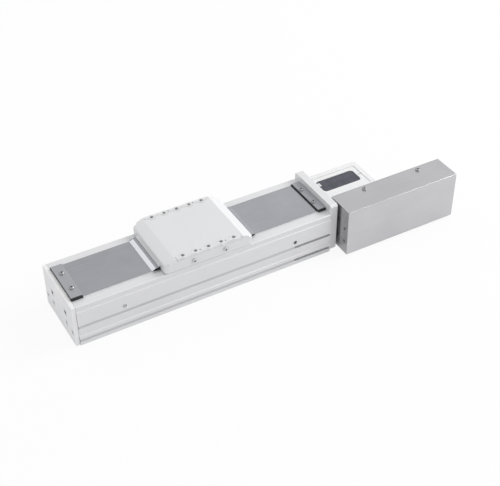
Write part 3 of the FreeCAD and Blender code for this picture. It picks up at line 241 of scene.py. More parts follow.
def slope_ledges(work):
    """Each side's two narrow ledges fall away to the outside, and take the painted highlight."""
    for corner in work.verts:
        out = abs(corner.co.y)
        for height, inner, outer, back, drop in LEDGES:
            if abs(corner.co.z - height) < NEAR:
                if abs(out - inner) < NEAR:
                    corner.co.y -= math.copysign(back, corner.co.y)
                elif abs(out - outer) < NEAR:
                    corner.co.z -= drop
    work.normal_update()
    for face in work.faces:
        if SLOPED < face.normal.z < LEVEL and abs(face.normal.x) < ALONG:
            face.material_index = EDGE


def shape_sides(work):
    """The ledges, painted light on the wall tops, painted shade in the slots, and the plug
    countersinks.
    """
    slope_ledges(work)
    for face in work.faces:
        middle = face.calc_center_median()
        if face.normal.z > LEVEL and middle.z > WALL_TOP:
            face.material_index = FACE
        in_slot = any(low < middle.z < high for low, high in SLOT_LEVELS)
        if in_slot and SLOT_FLOOR < abs(middle.y) < SLOT_MOUTH:
            face.material_index = DARK
    for corner in work.verts:
        if abs(corner.co.y) > PLUG_FACE:
            for x, z in PLUG_SPOTS:
                off = Vector((corner.co.x - x, 0, corner.co.z - z))
                if off.length < PLUG_HOLE:
                    corner.co += off * PLUG_FLARE


profile = dressed_copy(
    "base_profile", "base", anodised, edge=0.12 * MM,
    edge_finish=highlight_and_pale_clip, face_finish=painted_top_light, reshape=shape_sides,
)
profile.data.materials.append(slot_shade)

# Slot covers: extruded grey plastic strips pushed into the side slots. They end short of
# the drive end, where the slots stay open.
slot_plastic = lined_finish(
    "slot_plastic", (0.53, 0.53, 0.54), (0.59, 0.59, 0.60),
    roughness=0.5, metallic=0.0, stretch=(8, 1500, 1500),
)
dressed_copy("slot_covers", "base", slot_plastic, edge=0.15 * MM)


# Rails and runner blocks: hardened and ground steel inside the body, with moulded caps
# on the blocks' ends, and sunk screws along the rails.
def finish_node(finish, *nodes):
    """Gives inner solids that need no other shape their finish."""
    for node in nodes:
        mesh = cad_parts[node].data
        mesh.materials.clear()
        mesh.materials.append(finish)


ground_steel = lined_finish(
    "ground_steel", (0.42, 0.43, 0.44), (0.56, 0.57, 0.58),
    roughness=0.3, metallic=1.0, stretch=(60, 4000, 4000),
)
moulded_plastic = lined_finish(
    "moulded_plastic", (0.035, 0.035, 0.038), (0.055, 0.055, 0.058),
    roughness=0.55, metallic=0.0, stretch=(2500, 2500, 2500),
)
screw_zinc = lined_finish(
    "screw_zinc", (0.60, 0.60, 0.61), (0.70, 0.70, 0.71),
    roughness=0.32, metallic=0.9, stretch=(1500, 1500, 1500), cloud_size=0.004,
)
finish_node(ground_steel, "guide_rail_front", "guide_rail_back")
finish_node(ground_steel, *[f"runner_block_{number}" for number in (1, 2, 3, 4)])
finish_node(moulded_plastic, "runner_end_caps")
finish_node(screw_zinc, "rail_screws")

# Idler end: a milled fork on the floor carries the pin, the bearings and the toothed
# idler pulley, and two screws through the end plate pull it to tension the belt.
milled = lined_finish(
    "milled_aluminium", (0.80, 0.802, 0.81), (0.845, 0.847, 0.853),
    roughness=0.46, metallic=0.3, stretch=(900, 900, 900), cloud_size=0.03,
)
turned = lined_finish(
    "turned_aluminium", (0.58, 0.59, 0.60), (0.70, 0.71, 0.72),
    roughness=0.35, metallic=0.9, stretch=(300, 3500, 300), cloud_size=0.02,
)
finish_node(milled, "tension_block")
finish_node(
    ground_steel, "idler_pin", "idler_washers", "idler_bearing_inner", "idler_bearing_outer"
)
finish_node(turned, "idler_pulley")

# Screws: zinc plated socket heads. One tree makes a screw from its shank's end up to the
# hexagon, and sets it on every spot with its head turned to the outside.
ROUND_SIDES = 24
HEXAGON_TURN = math.pi / 3
HEXAGON_DEPTH = 0.6
SPIN_SEED = 7


def screw_tree():
    """The Geometry Nodes tree that sets one made screw on each of its spots."""
    tree = bpy.data.node_groups.new("socket_screw", "GeometryNodeTree")
    kinds = {"Spots": "Geometry", "Finish": "Material", "Hexagon Shade": "Material"}
    for label in ("Spots", "Head Radius", "Head Height", "Head Edge", "Shank Radius",
                  "Shank Length", "Hexagon", "Hexagon Depth", "Finish", "Hexagon Shade"):
        kind = kinds.get(label, "Float")
        tree.interface.new_socket(name=label, in_out="INPUT", socket_type=f"NodeSocket{kind}")
    tree.interface.new_socket(name="Screws", in_out="OUTPUT", socket_type="NodeSocketGeometry")
    given = add_node(tree, "NodeGroupInput", {})

    def calc(operation, first, second=0):
        """A sum of two sockets or numbers."""
        numbers = {0: first, 1: second}
        return add_node(tree, "ShaderNodeMath", numbers, operation=operation)["Value"]

    def upwards(height):
        """A vector straight up by a height."""
        return add_node(tree, "ShaderNodeCombineXYZ", {"Z": height})["Vector"]

    def rise(shape, top, height):
        """Draws the top face up by a height; gives the shape, its new top and its side."""
        drawn = add_node(
            tree, "GeometryNodeExtrudeMesh",
            {"Mesh": shape, "Selection": top, "Offset": upwards(height), "Offset Scale": 1},
        )
        return drawn["Mesh"], drawn["Top"], drawn["Side"]

    def resize(shape, top, share):
        """Scales the top face about its middle."""
        return add_node(
            tree, "GeometryNodeScaleElements",
            {"Geometry": shape, "Selection": top, "Scale": share},
        )["Geometry"]

    head_radius, head_edge = given["Head Radius"], given["Head Edge"]
    shank_end = add_node(
        tree, "GeometryNodeMeshCircle",
        {"Vertices": ROUND_SIDES, "Radius": given["Shank Radius"]}, fill_type="NGON",
    )["Mesh"]
    cap = add_node(tree, "GeometryNodeFlipFaces", {"Mesh": shank_end})["Mesh"]
    shape, top = rise(shank_end, True, given["Shank Length"])[:2]
    shape, top = rise(shape, top, 0)[:2]
    shape = resize(shape, top, calc("DIVIDE", head_radius, given["Shank Radius"]))
    shape, top = rise(shape, top, calc("SUBTRACT", given["Head Height"], head_edge))[:2]
    shape, top = rise(shape, top, head_edge)[:2]
    face_radius = calc("SUBTRACT", head_radius, head_edge)
    shape = resize(shape, top, calc("DIVIDE", face_radius, head_radius))
    shape, top = rise(shape, top, 0)[:2]
    shape = resize(shape, top, calc("DIVIDE", given["Hexagon"], face_radius))
    # The round mouth becomes a hexagon: each point moves in to the nearest of six sides.
    place = add_node(tree, "GeometryNodeInputPosition", {})["Position"]
    parts = add_node(tree, "ShaderNodeSeparateXYZ", {"Vector": place})
    around = calc("FLOORED_MODULO", calc("ARCTAN2", parts["Y"], parts["X"]), HEXAGON_TURN)
    off_middle = calc("SUBTRACT", around, HEXAGON_TURN / 2)
    inward = calc("DIVIDE", math.cos(HEXAGON_TURN / 2), calc("COSINE", off_middle))
    drawn_in = {axis: calc("MULTIPLY", parts[axis], inward) for axis in "XY"}
    across = add_node(tree, "ShaderNodeCombineXYZ", {**drawn_in, "Z": parts["Z"]})["Vector"]
    shape = add_node(
        tree, "GeometryNodeSetPosition",
        {"Geometry": shape, "Selection": top, "Position": across},
    )["Geometry"]
    down = calc("MULTIPLY", given["Hexagon Depth"], -1)
    shape, top, socket_side = rise(shape, top, down)
    inside = add_node(
        tree, "FunctionNodeBooleanMath", {0: top, 1: socket_side}, operation="OR"
    )["Boolean"]
    shape = add_node(
        tree, "GeometryNodeStoreNamedAttribute",
        {"Name": "in_hexagon", "Geometry": shape, "Value": inside},
        data_type="BOOLEAN", domain="FACE",
    )["Geometry"]
    closed = add_node(tree, "GeometryNodeJoinGeometry", {"Geometry": [cap, shape]})["Geometry"]
    welded = add_node(
        tree, "GeometryNodeMergeByDistance", {"Geometry": closed, "Distance": WELD}
    )["Geometry"]
    # The screw hangs from the top of its head.
    length = calc("ADD", given["Shank Length"], given["Head Height"])
    hung = add_node(
        tree, "GeometryNodeTransform",
        {"Geometry": welded, "Translation": upwards(calc("MULTIPLY", length, -1))},
    )["Geometry"]
    way = add_node(
        tree, "GeometryNodeInputNamedAttribute", {"Name": "way"}, data_type="FLOAT_VECTOR"
    )["Attribute"]
    upright = add_node(
        tree, "FunctionNodeAlignRotationToVector", {"Vector": way}, axis="Z"
    )["Rotation"]
    tightened = add_node(
        tree, "FunctionNodeRandomValue", {"Max": HEXAGON_TURN, "Seed": SPIN_SEED},
        data_type="FLOAT",
    )[1]
    spin = add_node(
        tree, "FunctionNodeAxisAngleToRotation", {"Axis": (0, 0, 1), "Angle": tightened}
    )["Rotation"]
    turned_to = add_node(
        tree, "FunctionNodeRotateRotation", {"Rotation": upright, "Rotate By": spin},
        rotation_space="LOCAL",
    )["Rotation"]
    spread = add_node(
        tree, "GeometryNodeInstanceOnPoints",
        {"Points": given["Spots"], "Instance": hung, "Rotation": turned_to},
    )["Instances"]
    real = add_node(tree, "GeometryNodeRealizeInstances", {"Geometry": spread})["Geometry"]
    painted = add_node(
        tree, "GeometryNodeSetMaterial", {"Geometry": real, "Material": given["Finish"]}
    )["Geometry"]
    # The hexagon socket takes the painted shade.
    recess = add_node(
        tree, "GeometryNodeInputNamedAttribute", {"Name": "in_hexagon"}, data_type="BOOLEAN"
    )["Attribute"]
    darkened = add_node(
        tree, "GeometryNodeSetMaterial",
        {"Geometry": painted, "Selection": recess, "Material": given["Hexagon Shade"]},
    )["Geometry"]
    add_node(tree, "NodeGroupOutput", {"Screws": darkened})
    return tree


socket_screw = screw_tree()
# Painted shade: the inside of each hexagon socket is painted dark.
painted_socket_shade = lined_finish(
    "painted_socket_shade", (0.07, 0.068, 0.066), (0.12, 0.115, 0.11),
    roughness=0.5, metallic=0.3, stretch=(1500, 1500, 1500), cloud_size=0.004,
)


def solids_of(node):
    """The lowest and highest corner of each separate solid of a node."""
    work = bmesh.new()
    work.from_mesh(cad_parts[node].data)
    bmesh.ops.remove_doubles(work, verts=work.verts, dist=WELD)
    left = set(work.verts)
    boxes = []
    while left:
        reached = [left.pop()]
        for corner in reached:
            for edge in corner.link_edges:
                other = edge.other_vert(corner)
                if other in left:
                    left.remove(other)
                    reached.append(other)
        low = Vector(min(corner.co[axis] for corner in reached) for axis in range(3))
        high = Vector(max(corner.co[axis] for corner in reached) for axis in range(3))
        boxes.append((low, high))
    work.free()
    return sorted(boxes, key=lambda box: tuple(box[0]))


def settle(piece):
    """Turns a piece's modifiers into its mesh, so that single faces can be marked."""
    shown = piece.evaluated_get(bpy.context.evaluated_depsgraph_get())
    mesh = bpy.data.meshes.new_from_object(shown)
    piece.modifiers.clear()
    piece.data = mesh
    return mesh


def place_screws(name, body, tops, ways, head_radius, length, head_height, shank_radius,
                 hexagon, head_edge, finish, recess):
    """Socket screws with the tops of their heads at the given places, each turned its way."""
    spots = bpy.data.meshes.new(f"{name}_spots")
    spots.from_pydata(tops, [], [])
    stored = spots.attributes.new("way", "FLOAT_VECTOR", "POINT")
    stored.data.foreach_set("vector", [value for way in ways for value in way])
    piece = add_object(name, spots)
    sizes = {
        "Head Radius": head_radius,
        "Head Height": head_height,
        "Head Edge": head_edge,
        "Shank Radius": shank_radius,
        "Shank Length": length - head_height,
        "Hexagon": hexagon,
        "Hexagon Depth": head_height * HEXAGON_DEPTH,
        "Finish": finish,
        "Hexagon Shade": recess,
    }
    made = piece.modifiers.new("screws", "NODES")
    made.node_group = socket_screw
    for socket in socket_screw.interface.items_tree:
        if socket.in_out == "INPUT" and socket.name in sizes:
            made[socket.identifier] = sizes[socket.name]
    settle(piece)
    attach(piece, body)
    return piece


def set_screws(node, body, way_of, head_height, shank_radius, hexagon, head_edge=0.3 * MM,
               finish=screw_zinc, recess=painted_socket_shade):
    """Socket screws in place of a node's plain ones; way_of gives each head's direction."""
    boxes = solids_of(node)
    ways = [Vector(way_of(low)) for low, high in boxes]
    tops = [
        (low + high) / 2 + way * abs(way.dot(high - low)) / 2
        for (low, high), way in zip(boxes, ways)
    ]
    size = boxes[0][1] - boxes[0][0]
    across = [width for width, share in zip(size, ways[0]) if not share]
    screws = place_screws(
        f"{node}_made", body, tops, ways, head_radius=max(across) / 2,
        length=abs(ways[0].dot(size)), head_height=head_height, shank_radius=shank_radius,
        hexagon=hexagon, head_edge=head_edge, finish=finish, recess=recess,
    )
    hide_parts(node)
    return screws


def to_side(low):
    """Heads in the sides look away from the middle of the module."""
    return (0, 1 if low.y > 0 else -1, 0)


# End plate: milled from flat bar, with sunk screws into the body's walls, two into the
# fork, and the two tension screws above them.
joint_shade = lined_finish(
    "joint_shade", (0.36, 0.36, 0.365), (0.42, 0.42, 0.425),
    roughness=0.6, metallic=0.2, stretch=(900, 900, 900), cloud_size=0.03,
)
# Painted shade, paler: the end plate's screw sockets are painted a lighter grey than the others.
painted_pale_socket_shade = lined_finish(
    "painted_pale_socket_shade", (0.42, 0.42, 0.425), (0.50, 0.50, 0.505),
    roughness=0.5, metallic=0.4, stretch=(1500, 1500, 1500), cloud_size=0.004,
)
plate = dressed_copy(
    "end_plate", "base", milled, edge=0.4 * MM, segments=3,
    edge_finish=highlight_and_pale_clip, face_finish=joint_shade,
)
# The rim at the joint with the body is in shade, and the top catches the light.
JOINT_RIM, TOP_SKIN, FACING = 0.35 * MM, 0.1 * MM, 0.9
plate_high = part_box("end_plate")[1]
for face in settle(plate).polygons:
    if face.material_index == EDGE and face.center.x > plate_high.x - JOINT_RIM:
        face.material_index = FACE
    elif face.normal.z > FACING and face.center.z > plate_high.z - TOP_SKIN:
        face.material_index = EDGE
set_screws(
    "end_plate_screws", "base", lambda low: (-1, 0, 0),
    head_height=3.6 * MM, shank_radius=1.55 * MM, hexagon=1.6 * MM, recess=painted_pale_socket_shade,
)
set_screws(
    "tension_screws", "base", lambda low: (-1, 0, 0),
    head_height=4 * MM, shank_radius=2.4 * MM, hexagon=2.2 * MM,
)

# Side plugs: zinc plated set screws that close the tapped holes in the sides of the body.
# The two towards the drive end take the slots' painted shade.
plug_zinc = lined_finish(
    "plug_zinc", (0.62, 0.62, 0.63), (0.70, 0.70, 0.71),
    roughness=0.45, metallic=0.4, stretch=(1500, 1500, 1500), cloud_size=0.004,
)
plugs = set_screws(
    "side_plugs", "base", to_side, head_height=2 * MM, shank_radius=1.5 * MM,
    hexagon=0.65 * MM, head_edge=0.15 * MM, finish=plug_zinc,
)
# Painted shade on the two plugs towards the drive end.
plugs.data.materials.append(slot_shade)
for face in plugs.data.polygons:
    if face.center.x > 0:
        face.material_index = len(plugs.data.materials) - 1

# Drive flange: a thicker milled plate between the body and the housing, taller than
# the walls, with sunk screws from both faces.
# Painted shade: the flange's face towards the body is a darker, more mirror-like copy of its
# satin.
painted_inner_shade = lined_finish(
    "painted_inner_shade", (0.40, 0.402, 0.41), (0.46, 0.462, 0.47),
    roughness=0.28, metallic=0.9, stretch=(60, 900, 900), cloud_size=0.03,
)
flange_satin = lined_finish(
    "flange_satin", (0.73, 0.732, 0.74), (0.77, 0.772, 0.78),
    roughness=0.46, metallic=0.3, stretch=(900, 900, 900), cloud_size=0.03,
)
UPPER_CUT, LOWER_CUT = 1.8 * MM, 0.6 * MM
CORNER_ZONE = 0.7 * MM


def mark_inner_face(work):
    """The corners are cut off wider, and the face towards the body is painted shade: darker,
    more mirror-like.
    """
    side = max(corner.co.y for corner in work.verts)
    bottom = min(corner.co.z for corner in work.verts)
    top = max(corner.co.z for corner in work.verts)
    for corner in work.verts:
        if abs(corner.co.y) > side - CORNER_ZONE:
            for level, cut, up in ((bottom, LOWER_CUT, 1), (top, UPPER_CUT, -1)):
                off = abs(corner.co.z - level)
                if off < NEAR:
                    corner.co.y -= math.copysign(cut, corner.co.y)
                elif off < CORNER_ZONE:
                    corner.co.z += up * cut
    work.normal_update()
    for face in work.faces:
        if face.normal.x < -FACING:
            face.material_index = FACE


dressed_copy(
    "drive_flange", "base", flange_satin, edge=0.55 * MM, segments=3,
    edge_finish=flange_satin, face_finish=painted_inner_shade, reshape=mark_inner_face,
)
set_screws(
    "flange_screws", "base", lambda low: (1, 0, 0),
    head_height=3.6 * MM, shank_radius=1.55 * MM, hexagon=1.6 * MM,
)
finish_node(screw_zinc, "housing_screws")

# Drive housing: a milled block with the pulley chamber, closed by a sunk cover plate with
# a long window, and by a turned cap over the bearing at the back. A moulded plug fills the
# window, painted near black as the shade of the chamber, with a pale clip in its end by
# the flange.
# Painted shade: the plug is painted near black, as the shade of the chamber behind the window.
window_shade_plastic = lined_finish(
    "window_shade_plastic", (0.04, 0.043, 0.06), (0.075, 0.078, 0.1),
    roughness=0.3, metallic=0.0, stretch=(300, 300, 300), cloud_size=0.008,
)
WINDOW_FROM, WINDOW_TO, WINDOW_FLOOR = 163.2 * MM, 167.6 * MM, 53.7 * MM
WINDOW_CUT = 2.2 * MM
CLIP_BARS = ((165.9 * MM, 166.7 * MM, 0.55 * MM), (167.4 * MM, 169.0 * MM, 0.3 * MM))
CLIP_FRONT, CLIP_BACK = 7.5 * MM, 13.5 * MM


def draw_in_window(work):
    """The window's end by the flange stands a little way off, clear of its shadow."""
    for corner in work.verts:
        if WINDOW_FROM < corner.co.x < WINDOW_TO and corner.co.z > WINDOW_FLOOR:
            corner.co.x += WINDOW_CUT


def turn_faces_out(mesh):
    """Turns all faces of a closed mesh to the outside."""
    work = bmesh.new()
    work.from_mesh(mesh)
    bmesh.ops.recalc_face_normals(work, faces=work.faces)
    work.to_mesh(mesh)
    work.free()


def upright_block(low, high):
    """The eight corners of a block, from its lowest and its highest."""
    return list(itertools.product(*zip(low, high)))


def block_piece(name, body, finish, blocks, edge):
    """One piece made of six-sided blocks, each given by its eight corners, with soft edges."""
    sides = (
        (0, 1, 3, 2), (4, 6, 7, 5), (0, 4, 5, 1), (2, 3, 7, 6), (0, 2, 6, 4), (1, 5, 7, 3),
    )
    faces = [
        [number * len(block) + corner for corner in side]
        for number, block in enumerate(blocks) for side in sides
    ]
    mesh = bpy.data.meshes.new(name)
    mesh.from_pydata(list(itertools.chain(*blocks)), [], faces)
    turn_faces_out(mesh)
    mesh.materials.append(finish)
    mesh.shade_smooth()
    piece = add_object(name, mesh)
    broken = piece.modifiers.new("broken_edges", "BEVEL")
    broken.width = edge
    broken.segments = 2
    broken.harden_normals = True
    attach(piece, body)


dressed_copy(
    "drive_housing", "base", milled, edge=0.6 * MM, segments=3
)
dressed_copy(
    "housing_cover", "base", milled, edge=0.3 * MM,
    reshape=draw_in_window,
)
dressed_copy(
    "window_plug", "base", window_shade_plastic, edge=0.3 * MM,
    reshape=draw_in_window, clamped=True,
)
dressed_copy("bearing_cap", "base", milled, edge=0.4 * MM)
plug_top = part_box("window_plug")[1].z
clip = [
    upright_block((start, CLIP_FRONT, plug_top), (end, CLIP_BACK, plug_top + height))
    for start, end, height in CLIP_BARS
]
block_piece("plug_clip", "base", highlight_and_pale_clip, clip, edge=0.12 * MM)

# Drive shaft and pulleys: turned and ground steel in its bearings, with the toothed
# pulley of the main belt, and the two pulleys of the side stage.
finish_node(ground_steel, "drive_shaft", "drive_bearing_inner", "drive_bearing_outer")
finish_node(turned, "drive_pulley", "driven_pulley", "motor_pulley")

# Belts and buffers: black rubber, ribbed across the belts' backs. The buffers stand on
# the fork and on two turned posts, and stop the carriage.
# The same black is the painted shade of the lips round the strip clamps and of the wedges at the
# carriage's corners.
rubber_and_shade = lined_finish(
    "black_rubber_and_shade", (0.012, 0.012, 0.013), (0.028, 0.028, 0.03),
    roughness=0.6, metallic=0.0, stretch=(1200, 300, 1200),
)
finish_node(rubber_and_shade, "main_belt", "motor_belt", "bumper_left", "bumper_right")
finish_node(turned, "bumper_posts")

# Cover strip: a thin spring steel strip held down on its seats by bonded magnets, lifted
# through the carriage. Its flat runs are given up and taken back as the carriage moves.
strip_steel = lined_finish(
    "strip_steel", (0.445, 0.452, 0.482), (0.50, 0.507, 0.537),
    roughness=0.22, metallic=0.9, stretch=(3, 5000, 5000), cloud_size=0.035, depth=0.002,
)
magnet_rubber = lined_finish(
    "magnet_rubber", (0.06, 0.055, 0.05), (0.09, 0.085, 0.08),
    roughness=0.7, metallic=0.0, stretch=(900, 900, 900),
)
finish_node(magnet_rubber, "magnet_strips")
finish_node(milled, "strip_anchor_left", "strip_anchor_right")
strip_low, strip_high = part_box("cover_strip")
STRIP_HIGH_HALF, STRIP_RAMP = 46 * MM, 16 * MM
# At each end of the carriage: the first rise and its run, and the run of the second rise.
STRIP_RISES = {-1: (1.8 * MM, 5.2 * MM, 7 * MM), 1: (0.5 * MM, 5 * MM, 11 * MM)}
STRIP_THICK = 0.3 * MM
CLAMPED = 13 * MM
FLAT_LEAD = 4 * MM
RISE_STEPS, BEND = 10, 0.2
SHARP_TURN = math.radians(30)


def strip_profile(sign):
    """The strip's top line, from its clamped end to the middle of the carriage."""
    flat_top, lifted_top = strip_low.z + STRIP_THICK, strip_high.z
    low_x = STRIP_HIGH_HALF + STRIP_RAMP
    line = [(x, flat_top) for x in (strip_high.x, strip_high.x - CLAMPED, low_x + FLAT_LEAD)]
    first_rise, first_run, second_run = STRIP_RISES[sign]
    second_rise = lifted_top - flat_top - first_rise
    for start, run, foot, rise in (
        (low_x, first_run, flat_top, first_rise),
        (STRIP_HIGH_HALF + second_run, second_run, flat_top + first_rise, second_rise),
    ):
        for step in range(RISE_STEPS + 1):
            if step == 0 and abs(line[-1][0] - start) < WELD:
                continue
            # A straight slope with a soft bend over the first and last fifth of its run.
            share = step / RISE_STEPS
            bent = max(0, BEND - share) ** 2 - max(0, share - 1 + BEND) ** 2
            up = (share - BEND / 2 + bent / (2 * BEND)) / (1 - BEND)
            line.append((start - run * share, foot + rise * up))
    line.append((0, lifted_top))
    return line


def strip_side(name, sign):
    """One half of the strip, from the clamp to the middle of the carriage."""
    half = strip_high.y
    section = ((-half, 0), (half, 0), (half, STRIP_THICK), (-half, STRIP_THICK))
    points = [
        (sign * x, y, z - drop) for x, z in strip_profile(sign) for y, drop in section
    ]
    corners = len(section)
    last = len(points) - corners
    faces = [range(corners), range(last, len(points))]
    for first in range(0, last, corners):
        for corner in range(corners):
            a, b = first + corner, first + (corner + 1) % corners
            faces.append((a, b, b + corners, a + corners))
    mesh = bpy.data.meshes.new("cover_strip_run")
    mesh.from_pydata(points, [], faces)
    turn_faces_out(mesh)
    mesh.materials.append(strip_steel)
    mesh.shade_smooth()
    mesh.set_sharp_from_angle(angle=SHARP_TURN)
    run = add_object(name, mesh)
    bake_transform(run)
    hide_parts("cover_strip")


strip_side("cover_strip_right", 1)
strip_side("cover_strip_left", -1)

# Strip clamps: thin bars over the strip's ends, each held by two button heads. The one at
# the drive end is cut narrower.
sheet_clamp = lined_finish(
    "clamp_sheet", (0.435, 0.441, 0.468), (0.48, 0.486, 0.513),
    roughness=0.34, metallic=0.85, stretch=(900, 40, 900),
)
# Painted shade: a darker copy of the screw zinc, for the heads on the strip clamps and on the
# box.
shaded_zinc = lined_finish(
    "shaded_zinc", (0.36, 0.36, 0.37), (0.44, 0.44, 0.45),
    roughness=0.4, metallic=0.8, stretch=(1500, 1500, 1500), cloud_size=0.004,
)
RIGHT_CLAMP_CUT, RIGHT_FOOT_CUT = 2.8 * MM, 0.9 * MM
CLAMP_EDGE_ZONE, CLAMP_FOOT_ZONE = 1 * MM, 3.5 * MM


def trim_right_clamp(work):
    """The edge towards the carriage moves back, and the foot under it a little."""
    inner = min(corner.co.x for corner in work.verts)
    for corner in work.verts:
        if corner.co.x < inner + CLAMP_EDGE_ZONE:
            corner.co.x += RIGHT_CLAMP_CUT
        elif corner.co.x < inner + CLAMP_FOOT_ZONE:
            corner.co.x += RIGHT_FOOT_CUT


dressed_copy("strip_clamp_left", "base", sheet_clamp, edge=0.25 * MM)
dressed_copy(
    "strip_clamp_right", "base", sheet_clamp, edge=0.25 * MM,
    reshape=trim_right_clamp,
)
set_screws(
    "strip_clamp_screws", "base", lambda low: (0, 0, 1), head_height=1.7 * MM,
    shank_radius=1.15 * MM, hexagon=1.1 * MM, head_edge=0.7 * MM, finish=shaded_zinc,
)

# Strip shade lips: black lips round the clamps, painted shade for the gaps under and beside
# them. Lips lie along three edges of each clamp, and two more hang down beside the strip.
LIP_TOP, LIP_REACH, LIP_FOOT = 0.9 * MM, 0.9 * MM, 52.0 * MM
LIP_PLAY = 0.25 * MM
# The lip along each clamp's left edge: how far it reaches out, laps over and is cut short.
LEFT_EDGE_LIPS = {"left": (0.25 * MM, 0, 0), "right": (1.3 * MM, 0.2 * MM, 0.05 * MM)}
HIGH_LIP_DROP = 0.2 * MM
for side in ("left", "right"):
    low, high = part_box(f"strip_clamp_{side}")
    start = low.x + RIGHT_CLAMP_CUT if side == "right" else low.x
    foot, top = low.z, low.z + LIP_TOP
    gap = strip_high.y + LIP_PLAY - high.y
    shade_lips = [
        upright_block((start, front, under), (high.x, back, top))
        for front, back, under in (
            (low.y - gap, low.y, foot),
            (high.y, high.y + gap, foot),
            (-strip_high.y - LIP_REACH, -strip_high.y, LIP_FOOT),
            (strip_high.y, strip_high.y + LIP_REACH, LIP_FOOT),
        )
    ]
    reach, lap, short = LEFT_EDGE_LIPS[side]
    edge_top = high.z - HIGH_LIP_DROP if side == "left" else top
    shade_lips.append(upright_block(
        (start - reach, low.y - gap + short, foot), (start + lap, high.y + gap - short, edge_top)
    ))
    block_piece(f"strip_shade_lips_{side}", "base", rubber_and_shade, shade_lips, edge=0.1 * MM)

# Carriage: an anodised base with two rows of tapped holes along its raised edges, and a
# cap with sloped ends screwed to its sides over the strip's tunnel. A shoe at each end
# presses the strip down, and toothed clamps underneath hold the belt.
carriage_satin = lined_finish(
    "carriage_satin", (0.74, 0.744, 0.752), (0.765, 0.769, 0.776),
    roughness=0.48, metallic=0.25, stretch=(700, 700, 700), cloud_size=0.04,
)
pad_satin = lined_finish(
    "pad_satin", (0.74, 0.742, 0.75), (0.77, 0.772, 0.778),
    roughness=0.42, metallic=0.25, stretch=(900, 900, 900), cloud_size=0.03,
)
BASE_SHOULDER, BOSS_FOOT, BOSS_OUT = 65.4 * MM, 65.9 * MM, 39.9 * MM
FLAT_HALF, BEND_HALF, END_HALF = 40 * MM, 47.2 * MM, 52.3 * MM
FLAT_TOP, BEND_TOP, SHOULDER, SLOPE_FOOT = 67.9 * MM, 66.4 * MM, 62.4 * MM, 60.2 * MM
SLOPE_DEPTH, BEND_ZONE, SLOPE_SKIN = 3 * MM, 2 * MM, 0.4 * MM
FOOT_TOP, FOOT_LIFT = 52.5 * MM, 0.7 * MM
NOSE_SKIN, NOSE_REACH, NOSE_DROP = 0.1 * MM, 2 * MM, 0.5 * MM


def trim_bosses(work):
    """The bosses round the tapped holes end a little above the base's shoulder."""
    for corner in work.verts:
        if abs(corner.co.z - BASE_SHOULDER) < NEAR and abs(corner.co.y) > BOSS_OUT:
            corner.co.z = BOSS_FOOT


def straighten_slopes(work):
    """Each end falls in one straight slope to its shoulder, and its foot clears the wall."""
    fall = (FLAT_TOP - SHOULDER) / (END_HALF - FLAT_HALF)
    upper_fall = (FLAT_TOP - BEND_TOP) / (BEND_HALF - FLAT_HALF)
    lower_fall = (BEND_TOP - SHOULDER) / (END_HALF - BEND_HALF)
    for corner in work.verts:
        out, height = abs(corner.co.x), corner.co.z
        if out > FLAT_HALF + NEAR and height > SHOULDER - SLOPE_DEPTH:
            straight = FLAT_TOP - fall * (out - FLAT_HALF)
            if out < BEND_HALF:
                bent = FLAT_TOP - upper_fall * (out - FLAT_HALF)
            else:
                bent = BEND_TOP - lower_fall * (out - BEND_HALF)
            if out < BEND_HALF + BEND_ZONE and height > bent - SLOPE_SKIN:
                corner.co.z = min(height, straight)
            elif height > SLOPE_FOOT:
                share = (height - SLOPE_FOOT) / (bent - SLOPE_FOOT)
                corner.co.z = SLOPE_FOOT + share * (straight - SLOPE_FOOT)
        elif out > FLAT_HALF and height < FOOT_TOP:
            corner.co.z += FOOT_LIFT


def draw_out_nose(work):
    """The shoe's outer face leans out to a nose just over the strip."""
    outer = max(abs(corner.co.x) for corner in work.verts)
    lowest = min(corner.co.z for corner in work.verts)
    for corner in work.verts:
        if abs(corner.co.x) > outer - NOSE_SKIN and corner.co.z < lowest + NOSE_SKIN:
            corner.co.x += math.copysign(NOSE_REACH, corner.co.x)
            corner.co.z -= NOSE_DROP


dressed_copy(
    "carriage_base", "carriage", pad_satin, edge=0.25 * MM,
    reshape=trim_bosses,
    is_fine=lambda line: all(abs(end.co.z - BOSS_FOOT) < NEAR for end in line.verts),
)
dressed_copy(
    "carriage_cover", "carriage", carriage_satin, edge=0.3 * MM,
    reshape=straighten_slopes, clamped=True,
)
set_screws(
    "carriage_cover_screws", "carriage", to_side, head_height=1.7 * MM,
    shank_radius=1.15 * MM, hexagon=1.1 * MM, head_edge=0.5 * MM,
)
for side in ("left", "right"):
    dressed_copy(
        f"strip_shoe_{side}", "carriage", carriage_satin, edge=0.4 * MM,
        segments=3, reshape=draw_out_nose,
    )
finish_node(milled, "belt_clamp_left", "belt_clamp_right")
finish_node(screw_zinc, "belt_clamp_screws")

# Strip shade wedges: black wedges at the carriage's four corners, painted shade under the
# lifted strip's edges. The one at the back towards the drive end is short.
WEDGE_INNER, WEDGE_OUTER = 27.6 * MM, 29.4 * MM
WEDGE_ROOT, WEDGE_ROOT_LOW, WEDGE_ROOT_HIGH = 52.2 * MM, 52.5 * MM, 54.7 * MM
WEDGE_TIP, WEDGE_TIP_LOW, WEDGE_TIP_HIGH = 60.5 * MM, 53.35 * MM, 53.65 * MM
WEDGE_SHORT_TIP = 54.5 * MM
shade_wedges = []
for end, side in itertools.product((-1, 1), (-1, 1)):
    tip = WEDGE_SHORT_TIP if end > 0 and side > 0 else WEDGE_TIP
    shade_wedges.append([
        (end * out, side * y, z)
        for out, low, high in (
            (WEDGE_ROOT, WEDGE_ROOT_LOW, WEDGE_ROOT_HIGH), (tip, WEDGE_TIP_LOW, WEDGE_TIP_HIGH),
        )
        for y in (WEDGE_INNER, WEDGE_OUTER) for z in (low, high)
    ])
block_piece("strip_shade_wedges", "carriage", rubber_and_shade, shade_wedges, edge=0.12 * MM)
